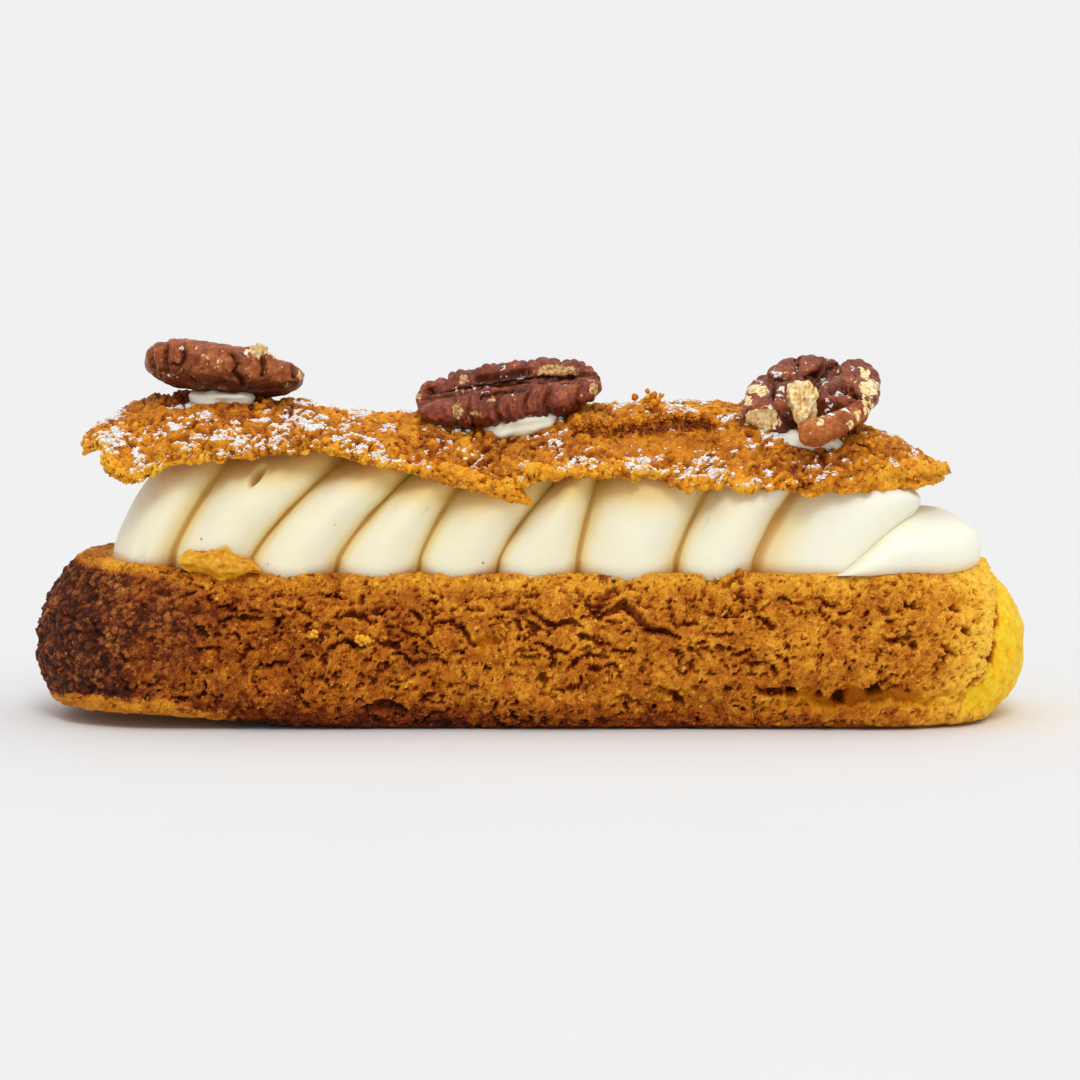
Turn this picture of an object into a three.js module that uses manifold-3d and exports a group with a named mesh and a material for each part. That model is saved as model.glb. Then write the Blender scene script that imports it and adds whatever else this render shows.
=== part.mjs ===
// A filled eclair in millimetres: a choux base with a craggy biscuit crust, a twisted rope of piped cream,
// a curved choux lid, pecan halves stuck on with dabs of cream, and a piece of cooked fruit under the cream.
// X runs along the eclair, Y points away from its front and Z is up. The base stands on Z = 0 at the origin.

import * as THREE from "three";
import { ParametricGeometry } from "three/addons/geometries/ParametricGeometry.js";
import { mergeVertices } from "three/addons/utils/BufferGeometryUtils.js";
import Module from "manifold-3d";

const wasm = await Module();
wasm.setup();

// Driving dimensions

const GAP = 0.35; // clear space kept between two pieces that rest on each other
const MERGE = 1e-3; // points closer than this are one point

const BASE = {
  halfLength: 70,
  halfWidth: 19.5,
  cap: 22, // length of each rounded end
  capPower: 2.4, // 2 is an ellipse, more is squarer
  height: 21.4, // of the cut that took the lid off
  belly: 10.5, // height of the widest place
  foot: 0.77, // reach of the flat underside, as a share of the outline
  footRight: 0.68, // less at the right end, which is rounder
  footLeft: 0.88, // more at the left end, which is squarer below
  cornerPower: 2.1, // squareness of the lower corner
  shoulder: 2.2, // over 1 keeps the wall steep until near the cut
  rimSide: 0.875, // reach of the cut edge along the sides
  rimEnd: 0.74, // and round the ends
  lift: 2.6, // the left end curls up off the table
  liftFrom: -24,
  liftTo: -57,
  rimRise: 1.3, // the cut climbs near the left end
  rimRiseFrom: -43,
  rimRiseTo: -55,
  crag: 1.3, // height of the crust's crags
  footFade: 4, // the crags fade in over this height above the table
  rimFade: 3, // and fade over this height below the cut
  rimCrag: 0.5, // to this share
  crustEnd: 60, // the biscuit crust stops short of the right end
  crustFade: 4,
  bareCrag: 0.2, // share of the crags left on the bare choux there
  sideColumns: 36,
  capColumns: 24,
  bottomRows: 2,
  wallRows: 12,
  topRows: 2,
};

const CREAM = {
  left: [-59.8, 9.5], // the rope's ends: where on the base, and the lean there
  right: [50.5, 11],
  capLeft: 9.5,
  capRight: 11.5,
  capPower: 2.3,
  halfWidth: 17.1,
  height: 20.5,
  waist: 0.36, // height of the widest place, as a share of the height
  footAngle: 0.12, // how far under the waist the section turns before it meets the base
  squareness: 2.3, // of the section
  groove: 3.9, // depth between two lobes
  footGroove: 0.7, // share of it left at the foot
  footHeight: 0.4, // and the share of the height over which it deepens
  grooveSoft: 0.006, // rounds the bottom of the groove
  bend: 1.4, // over 1 makes a lobe steep at its foot and lean more higher up
  bendAt: 0.57, // share of the height at which it leans as stated
  end: 55.8, // the leaning right end reaches no further than this
  endSoft: 1, // how softly it stops there
  endFrom: 29.5, // and draws in over this height
  endCurve: 0.35,
  lobePower: 0.6, // under 1 gives full lobes and sharp grooves
  lobeRows: 8,
  arcColumns: 18,
  flatColumns: 3,
};

// Each groove between two lobes of the rope: where it starts on the base, and how far it leans to the right
// over the rope's height
const GROOVES = [
  [-50.6, 10.5],
  [-40.2, 16],
  [-28.1, 15.5],
  [-16.5, 10],
  [-5.7, 13.6],
  [5.7, 4.5],
  [19.2, 8.5],
  [29.8, 11],
];
// The last lobe is a drop that lies on its side in front of the rope's end: its middle, half sizes and
// squareness, the heights of its tail and its head, how much wider its tail is, where along it the head rises
// and how thin the tail gets
const END_LOBE = {
  at: [50.4, -0.6],
  half: [12.4, 16.4, 5.1],
  power: 2.6,
  tail: 21.4,
  head: 24.2,
  tailWider: 1.3,
  riseFrom: -0.85,
  riseTo: 0.15,
  thinnest: 0.02,
  around: 18,
  along: 10,
};

const LID = {
  left: -63.6,
  right: 58,
  capLeft: 15,
  capRight: 25,
  powerLeft: 3.4, // the left end is nearly square
  powerRight: 2.1,
  halfWidth: 17.5,
  crest: 42.6, // height of the ridge line away from its humps
  drop: 6.9, // from the ridge down to the long edges
  endFlatter: 0.35, // share of the drop lost towards the ends
  thickMiddle: 2.7,
  thickEdge: 1.0,
  thickRight: 3.0, // thickness of the edge at the right end
  thickFrom: 32,
  thickTo: 50,
  crag: 1.2,
  edgeCrag: 0.4, // share of the crags left along the broken edge
  edge: 0.98, // mean reach of the broken edge
  ragged: 0.06, // how far it wanders, as a share of its reach
  sideColumns: 30,
  capColumns: 15,
  topRows: 8,
  underRows: 5,
};

// Humps along the lid's ridge: where, how wide and how high
const RIDGE_HUMPS = [
  [-46, 13, 2.5],
  [17, 15, 1.4],
];
// How the long edges hang lower or higher than the plain drop: where, how wide, how much
const FRONT_HANG = [
  [-29, 10, -3.2],
  [25, 15, 2.4],
  [-8, 6, 1.2],
  [-57, 5.5, 3],
  [38, 9, 0.9],
];
const BACK_HANG = [
  [-20, 15, 1.2],
  [30, 18, -1.2],
];
// A flap of crust that hangs out at the front, beside the middle nut
const FLAP = { at: -4, width: 5, from: -8, to: -16, reach: 0.05 };
// The spindle of crust that hangs down from that flap
const HANGING = {
  tip: [-13, -16.9, 36.3],
  bend: [-6.8, -17.6, 34.15],
  end: [-0.6, -18.2, 32],
  tipRadius: 1.4,
  endRadius: 0.9,
  around: 8,
  along: 7,
};
// A bite out of the edge near the left front corner
const LID_BITE = { x: -61.5, y: -12, half: 3, depth: 0.14 };
const LID_LEFT_FALL = { from: -52, reach: 11, depth: 3.6 };
const LID_RIGHT_FALL = { from: 33, reach: 25, depth: 7.5 };

const PECAN = {
  halfLength: 13,
  halfWidth: 8.4,
  back: 4.6, // thickness of the round side
  face: 3.4, // thickness of the cloven side
  bluntness: 0.72, // 1 has pointed tips
  cleft: 3.6,
  cleftWidth: 2.1,
  furrow: 0.12, // depth of the two furrows down the back, as a share of the radius
  furrowAngle: 0.62,
  furrowWidth: 0.16,
  wrinkle: 0.055,
  wrinkleWaves: 16,
  wrinkleBend: 2.5,
  along: 20,
  around: 20,
};

// Each nut: its centre, then its yaw, pitch and roll in degrees, its own size and how it narrows to the right
const PECANS = [
  { name: "pecan_left", at: [-43.8, -0.8, 49.5], turn: [4, 9, -8], size: [0.86, 0.92, 0.94], taper: 0.16 },
  { name: "pecan_middle", at: [-3.7, -4.6, 46.1], turn: [4, -8, 21], size: [1.0, 0.95, 0.84], taper: 0 },
  { name: "pecan_right", at: [38.7, -5.4, 45.6], turn: [70, -21, 2], size: [0.92, 1.12, 0.82], taper: 0 },
];
// What is broken off the right nut, in its own frame, as middle and half sizes: the notches at its near and
// its far end, the end of its left lobe and that of its right one
const BREAK_OFFS = [
  { at: [-11, 0, 0], half: [7, 1.6, 9] },
  { at: [12.6, -1.8, 0], half: [3.2, 1.1, 9] },
  { at: [-14, 6, 0], half: [6, 5.4, 9] },
  { at: [-12, -6, 0], half: [7, 5.4, 9] },
];
const BREAK_OFF = { power: 4, around: 12, along: 6 };
// Its right lobe bends round in front of the cleft, and a tongue of flesh stands in the cleft
const THUMB = {
  tip: [36.4, -14.4, 41],
  bend: [43, -15, 41.8],
  end: [46.2, -8.6, 44.6],
  tipRadius: 2.5,
  endRadius: 1.6,
  around: 12,
  along: 10,
};
const TONGUE = { at: [37.2, -11, 44.5], half: [2.1, 1.5, 3.1], lumps: 0.3, around: 10, along: 7 };
// The dab of cream under each nut: its middle, its half sizes and its slope along X
const DABS = [
  { name: "cream_dab_left", at: [-44, -1.9, 45.4], half: [4.8, 4.0, 1.9], tilt: -0.03 },
  { name: "cream_dab_middle", at: [-2.1, -7.0, 41.7], half: [5.2, 4.2, 1.9], tilt: 0.15 },
  { name: "cream_dab_right", at: [38.5, -8.3, 39.8], half: [5.0, 3.9, 1.9], tilt: -0.14 },
];
const DAB = { lumps: 0.12, power: 3, around: 12, along: 6 };
// The fruit piece's upper and lower outline as X and Z, seen from the front, and its middle and half size in
// depth
const FRUIT = {
  top: [
    [-49.3, 23.9],
    [-48.1, 24.8],
    [-44, 25.3],
    [-42.5, 25.9],
    [-41.8, 24.4],
    [-39.4, 23.9],
    [-37.8, 22.3],
  ],
  bottom: [
    [-49.3, 23.2],
    [-48.3, 22.3],
    [-45.9, 21.9],
    [-43.2, 20.9],
    [-41.8, 21],
    [-40.2, 21.6],
    [-37.8, 21.9],
  ],
  y: -16.5,
  halfY: 2.6,
  bluntness: 0.6,
  endward: 3, // the outlines close this steeply at the two ends
  around: 10,
  along: 12,
};

// Layers of lumps in the biscuit crust, along the lid's broken edge and on a soft ball of radius 1: the size
// of a lump along X, Y and Z, where in the noise the layer starts, and its share
const CRAGS = [
  { size: [7, 4.5, 3.6], start: [11, 3, 0], share: 1.3 },
  { size: [3.1, 2.3, 2.1], start: [0, 8, 5], share: 0.7 },
];
const BREAKS = [
  { size: [5.5, 5.5, 1], start: [31, 7, 2.5], share: 1.2 },
  { size: [2.2, 2.2, 1], start: [5, 19, 8.5], share: 0.7 },
];
const SWELLS = [{ size: [0.5, 0.5, 0.5], start: [9, 4, 6], share: 1 }];

// Shared shapes of numbers

const clamp01 = (t) => Math.min(1, Math.max(0, t));
const mix = (a, b, t) => a + (b - a) * t;
const smooth = (from, to, x) => {
  const t = clamp01((x - from) / (to - from));
  return t * t * (3 - 2 * t);
};
const bell = (x, middle, width) => Math.exp(-(((x - middle) / width) ** 2));
const bells = (x, list) => list.reduce((sum, [at, width, much]) => sum + much * bell(x, at, width), 0);
const root = (c, power) => Math.sign(c) * Math.abs(c) ** (2 / power);

// A repeatable random value from 0 to 1 for each cell of a grid.
function cellValue(i, j, k) {
  const s = Math.sin(i * 127.1 + j * 311.7 + k * 74.7) * 43758.5453;
  return s - Math.floor(s);
}

// Smooth noise from 0 to 1: the eight corner values of a cell, eased into each other.
function noise(x, y, z) {
  const [i, j, k] = [Math.floor(x), Math.floor(y), Math.floor(z)];
  const ease = (t) => t * t * (3 - 2 * t);
  const [u, v, w] = [ease(x - i), ease(y - j), ease(z - k)];
  const edge = (dj, dk) => mix(cellValue(i, j + dj, k + dk), cellValue(i + 1, j + dj, k + dk), u);
  return mix(mix(edge(0, 0), edge(1, 0), v), mix(edge(0, 1), edge(1, 1), v), w);
}

// Layers of noise added up, from -1 to 1.
function layered(layers, x, y, z) {
  return layers.reduce((sum, { size, start, share }) => {
    const value = noise(x / size[0] + start[0], y / size[1] + start[1], z / size[2] + start[2]);
    return sum + share * (value - 0.5);
  }, 0);
}

// A closed surface from a grid of points, with its seams joined and collapsed faces dropped.
function closedSurface(point, columns, rows) {
  const grid = new ParametricGeometry(point, columns, rows);
  grid.deleteAttribute("normal");
  grid.deleteAttribute("uv");
  const joined = mergeVertices(grid, MERGE);
  const index = joined.index.array;
  const kept = [];
  for (let i = 0; i < index.length; i += 3) {
    const [a, b, c] = index.slice(i, i + 3);
    if (a !== b && b !== c && c !== a) kept.push(a, b, c);
  }
  joined.setIndex(kept);
  return joined;
}

// Plan of a loaf around a spine on the X axis: front side, right cap, back side, left cap.
// Gives the spine point and the reach from it to the outline for one column.
function loafPlan(column, shape) {
  const { left, right, capLeft, capRight, powerLeft, powerRight, halfWidth, sideColumns, capColumns } = shape;
  const [from, to] = [left + capLeft, right - capRight];
  let step = column % (2 * (sideColumns + capColumns));
  const back = step >= sideColumns + capColumns;
  if (back) step -= sideColumns + capColumns;
  const facing = back ? 1 : -1;
  if (step <= sideColumns) {
    const along = step / sideColumns;
    return { spine: back ? mix(to, from, along) : mix(from, to, along), out: 0, side: facing * halfWidth };
  }
  const angle = Math.PI * ((step - sideColumns) / capColumns - 0.5);
  const power = back ? powerLeft : powerRight;
  const [out, side] = [root(Math.cos(angle), power), root(Math.sin(angle), power)];
  if (back) return { spine: from, out: -out * capLeft, side: -side * halfWidth };
  return { spine: to, out: out * capRight, side: side * halfWidth };
}

// Choux base

const BASE_PLAN = {
  ...BASE,
  left: -BASE.halfLength,
  right: BASE.halfLength,
  capLeft: BASE.cap,
  capRight: BASE.cap,
  powerLeft: BASE.capPower,
  powerRight: BASE.capPower,
};

// Height of the cut face, which climbs towards the left end.
const cutHeight = (x) => BASE.height + BASE.rimRise * smooth(BASE.rimRiseFrom, BASE.rimRiseTo, x);

// How much a place belongs to the left end, where the underside is off the table: 0 to 1.
const leftShare = (x) => smooth(BASE.liftFrom, BASE.liftTo, x);

// Reach and height of the base's section at one row, from the middle of the underside to that of the cut.
function baseSection(row, endness, rightness, leftness, top) {
  const rim = mix(BASE.rimSide, BASE.rimEnd, endness);
  const foot = mix(mix(BASE.foot, BASE.footRight, rightness), BASE.footLeft, leftness);
  if (row <= BASE.bottomRows) return [(foot * row) / BASE.bottomRows, 0];
  const climb = (row - BASE.bottomRows) / BASE.wallRows;
  if (climb <= 0.5) {
    const angle = climb * Math.PI;
    return [
      mix(foot, 1, root(Math.sin(angle), BASE.cornerPower)),
      BASE.belly * (1 - root(Math.cos(angle), BASE.cornerPower)),
    ];
  }
  if (climb <= 1) {
    const rise = 2 * climb - 1;
    return [1 - (1 - rim) * rise ** BASE.shoulder, mix(BASE.belly, top, rise)];
  }
  return [rim * (1 - (row - BASE.bottomRows - BASE.wallRows) / BASE.topRows), top];
}

function basePoint(columns, rows) {
  const rimRow = BASE.bottomRows + BASE.wallRows;
  return (u, v, target) => {
    const { spine, out, side } = loafPlan(Math.round(u * columns), BASE_PLAN);
    const endness = Math.abs(out) / BASE.cap;
    const top = cutHeight(spine + out * BASE.rimEnd);
    const row = Math.round(v * rows);
    let [reach, z] = baseSection(row, endness, out > 0 ? endness : 0, leftShare(spine + out), top);
    const x = spine + reach * out;
    const y = reach * side;
    if (row > rimRow) z = cutHeight(x);
    if (row > BASE.bottomRows && row < rimRow) {
      const crust = smooth(BASE.crustEnd - BASE.crustFade, BASE.crustEnd + BASE.crustFade, x);
      const rim = smooth(top - BASE.rimFade, top, z);
      const share = mix(1, BASE.bareCrag, crust) * mix(1, BASE.rimCrag, rim) * smooth(0, BASE.footFade, z);
      reach += (BASE.crag * share * layered(CRAGS, x, y, z)) / Math.hypot(out, side);
    }
    const lift = BASE.lift * leftShare(x) * (1 - z / top);
    target.set(spine + reach * out, reach * side, z + lift);
  };
}

function baseGeometry() {
  const columns = 2 * (BASE.sideColumns + BASE.capColumns);
  const rows = BASE.bottomRows + BASE.wallRows + BASE.topRows;
  return closedSurface(basePoint(columns, rows), columns, rows);
}

// Choux lid

// Smooth height of the lid's upper side above one point of the plan.
function lidHeight(x, y) {
  const leftFall = Math.max(0, (LID_LEFT_FALL.from - x) / LID_LEFT_FALL.reach);
  const rightFall = Math.max(0, (x - LID_RIGHT_FALL.from) / LID_RIGHT_FALL.reach);
  const ridge =
    LID.crest +
    bells(x, RIDGE_HUMPS) -
    LID_LEFT_FALL.depth * leftFall ** 2 -
    LID_RIGHT_FALL.depth * rightFall ** 2;
  const drop = LID.drop + bells(x, y < 0 ? FRONT_HANG : BACK_HANG);
  const endness = Math.max(
    smooth(LID_LEFT_FALL.from, LID.left, x),
    smooth(LID_RIGHT_FALL.from, LID.right, x),
  );
  return ridge - drop * (1 - LID.endFlatter * endness) * (y / LID.halfWidth) ** 2;
}

function lidThickness(reach, x) {
  const rightness = smooth(LID.thickFrom, LID.thickTo, x);
  const middle = mix(LID.thickMiddle, LID.thickRight, rightness);
  return mix(middle, mix(LID.thickEdge, LID.thickRight, rightness), reach ** 3);
}

// Broken edge of the lid: how far the outline reaches at one place, about 1.
function brokenEdge(x, y) {
  const flap = FLAP.reach * bell(x, FLAP.at, FLAP.width) * smooth(FLAP.from, FLAP.to, y);
  const bite = LID_BITE.depth * bell(Math.hypot(x - LID_BITE.x, y - LID_BITE.y), 0, LID_BITE.half);
  return LID.edge + LID.ragged * layered(BREAKS, x, y, 0) + flap - bite;
}

function lidPoint(columns, rows) {
  return (u, v, target) => {
    const { spine, out, side } = loafPlan(Math.round(u * columns), LID);
    const row = Math.round(v * rows);
    const under = row <= LID.underRows;
    const share = under ? row / LID.underRows : 1 - (row - LID.underRows - 1) / LID.topRows;
    const edge = brokenEdge(spine + out, side);
    const reach = share * mix(1, edge, share ** 2);
    const x = spine + reach * out;
    const y = reach * side;
    let z = lidHeight(x, y);
    if (under) z -= lidThickness(share, x);
    else z += LID.crag * layered(CRAGS, x, y, z) * (share < 1 ? 1 : LID.edgeCrag);
    target.set(x, y, z);
  };
}

function lidSolid(cream) {
  const columns = 2 * (LID.sideColumns + LID.capColumns);
  const rows = LID.underRows + 1 + LID.topRows;
  const slice = solidOf(closedSurface(lidPoint(columns, rows), columns, rows));
  return slice.add(solidOf(tubeGeometry(HANGING)).subtract(cream.translate([0, -GAP, 0])));
}

// Piped cream

// Height of the lid's lower side, away from its edge.
const lidUnderside = (x, y) => lidHeight(x, y) - lidThickness(0, x);

// Height of a lobe along the rope, 0 in a groove and 1 between two.
function lobeProfile(phase) {
  const power = CREAM.lobePower / 2;
  const bottom = CREAM.grooveSoft ** power;
  const raised = (Math.sin(Math.PI * phase) ** 2 + CREAM.grooveSoft) ** power;
  return (raised - bottom) / ((1 + CREAM.grooveSoft) ** power - bottom);
}

// One row of the rope, from its left tip to its right tip: where it starts on the base, how far it leans to
// the right over the rope's height, how much of the full section it has and how deep it is in a groove.
function ropeStation(row) {
  const stops = [CREAM.left, ...GROOVES, CREAM.right];
  const last = stops.length - 2;
  const i = Math.min(last, Math.floor(row / CREAM.lobeRows));
  const step = row / CREAM.lobeRows - i;
  let along = step;
  let phase = step;
  if (i === 0) {
    along = 1 - Math.cos((Math.PI / 2) * step);
    phase = 0.5 + 0.5 * along;
  }
  if (i === last) {
    along = Math.sin((Math.PI / 2) * step);
    phase = 0.5 * along;
  }
  const foot = mix(stops[i][0], stops[i + 1][0], along);
  const lean = mix(stops[i][1], stops[i + 1][1], along);
  const fromLeft = (foot - CREAM.left[0]) / CREAM.capLeft;
  const fromRight = (CREAM.right[0] - foot) / CREAM.capRight;
  const toTip = 1 - Math.min(fromLeft, fromRight, 1);
  const size = (1 - toTip ** CREAM.capPower) ** (1 / CREAM.capPower);
  return { foot, lean, size, dent: (CREAM.groove / CREAM.halfWidth) * (1 - lobeProfile(phase)) };
}

// Outline of the rope's section: an arch from the front foot over the top to the back foot, then the flat
// underside. Gives the reach across from -1 to 1 and the height over the waist in millimetres.
function ropeSection(column) {
  const { waist, footAngle, squareness, height, arcColumns, flatColumns } = CREAM;
  if (column > arcColumns) {
    const [footReach, footHeight] = ropeSection(0);
    return [mix(-footReach, footReach, (column - arcColumns) / flatColumns), footHeight];
  }
  const angle = mix(-footAngle, Math.PI + footAngle, column / arcColumns);
  const up = root(Math.sin(angle), squareness);
  const scale = up > 0 ? 1 - waist : waist / root(Math.sin(footAngle), squareness);
  return [-root(Math.cos(angle), squareness), height * scale * up];
}

function ropePoint(columns, rows) {
  const [, footOver] = ropeSection(0);
  return (u, v, target) => {
    const { foot, lean, size, dent } = ropeStation(Math.round(v * rows));
    const [across, over] = ropeSection(Math.round((1 - u) * columns) % columns);
    const low = cutHeight(foot) + GAP;
    const share = over / CREAM.height + CREAM.waist;
    const girth = 1 - dent * mix(CREAM.footGroove, 1, smooth(0, CREAM.footHeight, share));
    const y = CREAM.halfWidth * size * girth * across;
    const tall = over > 0 ? size * girth : girth;
    let z = Math.max(low, low + CREAM.height * CREAM.waist + tall * over);
    const above = lidUnderside(foot + lean * CREAM.bendAt, y) - GAP;
    z = above - Math.log1p(Math.exp(above - z));
    const climb = Math.max(0, z - low) / CREAM.height / CREAM.bendAt;
    const leaning = foot + lean * CREAM.bendAt * climb ** CREAM.bend;
    const limit = CREAM.end - CREAM.endCurve * Math.max(0, z - CREAM.endFrom) ** 2;
    const room = (limit - leaning) / CREAM.endSoft;
    const x = leaning + CREAM.endSoft * (room - Math.log1p(Math.exp(room)));
    if (over <= footOver + MERGE) z = low;
    target.set(x, y, Math.min(z, lidUnderside(x, y) - GAP));
  };
}

function endLobeGeometry() {
  const { at, half, power, tail, head, tailWider, riseFrom, riseTo, thinnest, around, along } = END_LOBE;
  const point = (u, v, target) => {
    const [x, y, z] = ballPoint(u, v, power);
    const headward = Math.max(thinnest, smooth(riseFrom, riseTo, x));
    target.set(
      at[0] + half[0] * x,
      at[1] + half[1] * y * mix(tailWider, 1, headward),
      mix(tail, head, headward) + half[2] * z * headward,
    );
  };
  return closedSurface(point, around, along);
}

function creamSolid(baseSolid) {
  const columns = CREAM.arcColumns + CREAM.flatColumns;
  const rows = (GROOVES.length + 1) * CREAM.lobeRows;
  const rope = closedSurface(ropePoint(columns, rows), columns, rows);
  return solidOf(rope).add(solidOf(endLobeGeometry()).subtract(baseSolid.translate([0, 0, GAP])));
}

// Pecan halves, cloven side up, long way along X. Extra grows the nut outwards all over.

function pecanGeometry({ size, taper }, extra = 0) {
  const [long, wide, thick] = size;
  const point = (u, v, target) => {
    const along = Math.PI * v;
    const round = 2 * Math.PI * u;
    const girth = Math.max(0, Math.sin(along)) ** PECAN.bluntness;
    const up = Math.sin(round) >= 0;
    const fromBack = Math.abs(Math.atan2(Math.sin(round), Math.cos(round)) + Math.PI / 2);
    const furrow = up ? 0 : PECAN.furrow * bell(fromBack, PECAN.furrowAngle, PECAN.furrowWidth);
    const wave = PECAN.wrinkleWaves * v + PECAN.wrinkleBend * Math.cos(2 * round);
    const ripple = PECAN.wrinkle * Math.sin(wave) * girth;
    const radius = girth * (1 - furrow + ripple);
    const x = -PECAN.halfLength * long * Math.cos(along);
    const y = PECAN.halfWidth * wide * radius * Math.cos(round);
    let z = (up ? PECAN.face : PECAN.back) * thick * radius * Math.sin(round);
    if (up) z -= PECAN.cleft * thick * girth * bell(y, 0, PECAN.cleftWidth) * Math.sin(round);
    const grow = 1 + extra / Math.max(PECAN.face, Math.hypot(x, y, z));
    const narrow = grow * (1 - (taper * x) / PECAN.halfLength);
    target.set(x * grow, y * narrow, z * narrow);
  };
  return closedSurface(point, PECAN.around, PECAN.along);
}

// The right nut: a plain half with its ends broken off, and its bent lobe and tongue of flesh added.
function brokenNut(nut) {
  const { power, around, along } = BREAK_OFF;
  const cuts = BREAK_OFFS.map(({ at, half }) =>
    solidOf(placedGeometry(lumpGeometry(half, 0, around, along, power).translate(...at), nut)),
  );
  const plain = solidOf(placedGeometry(pecanGeometry(nut), nut));
  const left = cuts.reduce((solid, cut) => solid.subtract(cut), plain);
  const tongue = lumpGeometry(TONGUE.half, TONGUE.lumps, TONGUE.around, TONGUE.along).translate(...TONGUE.at);
  return left.add(solidOf(tubeGeometry(THUMB))).add(solidOf(tongue));
}

// Fruit piece: a wedge between two outlines

// Height of an outline of [x, z] points at one x.
function outlineAt(outline, x) {
  const i = Math.max(1, outline.findIndex((point) => point[0] >= x));
  const [[x0, z0], [x1, z1]] = [outline[i - 1], outline[i]];
  return mix(z0, z1, clamp01((x - x0) / (x1 - x0)));
}

function fruitGeometry() {
  const { top, bottom, y, halfY, bluntness, endward, around, along } = FRUIT;
  const [left, right] = [top[0][0], top[top.length - 1][0]];
  const point = (u, v, target) => {
    const round = 2 * Math.PI * u;
    const girth = Math.max(0, Math.sin(Math.PI * v)) ** bluntness;
    const x = mix(left, right, 0.5 - 0.5 * Math.cos(Math.PI * v));
    const [high, low] = [outlineAt(top, x), outlineAt(bottom, x)];
    const half = 0.5 * (high - low) * clamp01(endward * girth);
    target.set(x, y + halfY * girth * Math.cos(round), 0.5 * (high + low) + half * Math.sin(round));
  };
  return closedSurface(point, around, along);
}

// Small soft lumps and bent tubes

// Point of a ball of radius 1, squarer for a higher power.
function ballPoint(u, v, power) {
  const [round, rise] = [2 * Math.PI * u, Math.PI * v];
  const girth = root(Math.sin(rise), power);
  const [x, y] = [root(Math.cos(round), power), root(Math.sin(round), power)];
  return [girth * x, girth * y, -root(Math.cos(rise), power)];
}

// A ball stretched to its half sizes and made uneven.
function lumpGeometry(half, lumps, around, along, power = 2) {
  const point = (u, v, target) => {
    const [x, y, z] = ballPoint(u, v, power);
    const swell = 1 + lumps * layered(SWELLS, x, y, z);
    target.set(half[0] * x * swell, half[1] * y * swell, half[2] * z * swell);
  };
  return closedSurface(point, around, along);
}

// A round section carried along a curve from its tip by its bend to its end, closed and blunt at both.
function tubeGeometry({ tip, bend, end, tipRadius, endRadius, around, along }) {
  const stops = [tip, bend, end].map((stop) => new THREE.Vector3(...stop));
  const curve = new THREE.QuadraticBezierCurve3(...stops);
  const upright = new THREE.Vector3(0, 0, 1);
  const point = (u, v, target) => {
    const t = 0.5 - 0.5 * Math.cos(Math.PI * v);
    const ahead = curve.getTangent(t);
    const side = new THREE.Vector3().crossVectors(ahead, upright).normalize();
    const up = new THREE.Vector3().crossVectors(ahead, side);
    const radius = Math.sqrt(Math.max(0, Math.sin(Math.PI * v))) * mix(tipRadius, endRadius, t);
    target
      .copy(curve.getPoint(t))
      .addScaledVector(side, radius * Math.cos(2 * Math.PI * u))
      .addScaledVector(up, radius * Math.sin(2 * Math.PI * u));
  };
  return closedSurface(point, around, along);
}

// Cutting one solid by another

function solidOf(geometry) {
  return new wasm.Manifold(
    new wasm.Mesh({
      numProp: 3,
      vertProperties: new Float32Array(geometry.attributes.position.array),
      triVerts: new Uint32Array(geometry.index.array),
    }),
  );
}

function geometryOf(solid) {
  const { vertProperties, triVerts } = solid.getMesh();
  return new THREE.BufferGeometry()
    .setAttribute("position", new THREE.BufferAttribute(vertProperties, 3))
    .setIndex(new THREE.BufferAttribute(triVerts, 1));
}

// The largest single body left when the cutters are taken away.
function carve(solid, cutters) {
  const left = cutters.reduce((rest, cutter) => rest.subtract(cutter), solid);
  return geometryOf(left.decompose().sort((a, b) => b.volume() - a.volume())[0]);
}

// Pieces and their finishes

const FINISHES = {
  choux: { color: 0xa9652a, roughness: 0.85, metalness: 0 },
  cream: { color: 0xf5efdd, roughness: 0.5, metalness: 0 },
  pecan: { color: 0x6e3520, roughness: 0.55, metalness: 0 },
  fruit: { color: 0xd79a33, roughness: 0.3, metalness: 0 },
};

function piece(name, geometry, finish) {
  geometry.computeVertexNormals();
  const mesh = new THREE.Mesh(geometry, new THREE.MeshStandardMaterial(FINISHES[finish]));
  mesh.name = name;
  return mesh;
}

// Turns a geometry by its roll about X, pitch about Y and yaw about Z, then moves it to its centre.
function placedGeometry(geometry, { at, turn }) {
  const [yaw, pitch, roll] = turn.map(THREE.MathUtils.degToRad);
  const rotation = new THREE.Matrix4().makeRotationFromEuler(new THREE.Euler(roll, pitch, yaw, "ZYX"));
  return geometry.applyMatrix4(rotation).translate(...at);
}

const eclair = new THREE.Group();
const base = baseGeometry();
const baseSolid = solidOf(base);
const cream = creamSolid(baseSolid);
const lid = lidSolid(cream);
eclair.add(piece("choux_base", base, "choux"));
eclair.add(piece("cream_rope", geometryOf(cream), "cream"));
eclair.add(piece("choux_lid", geometryOf(lid), "choux"));

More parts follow.
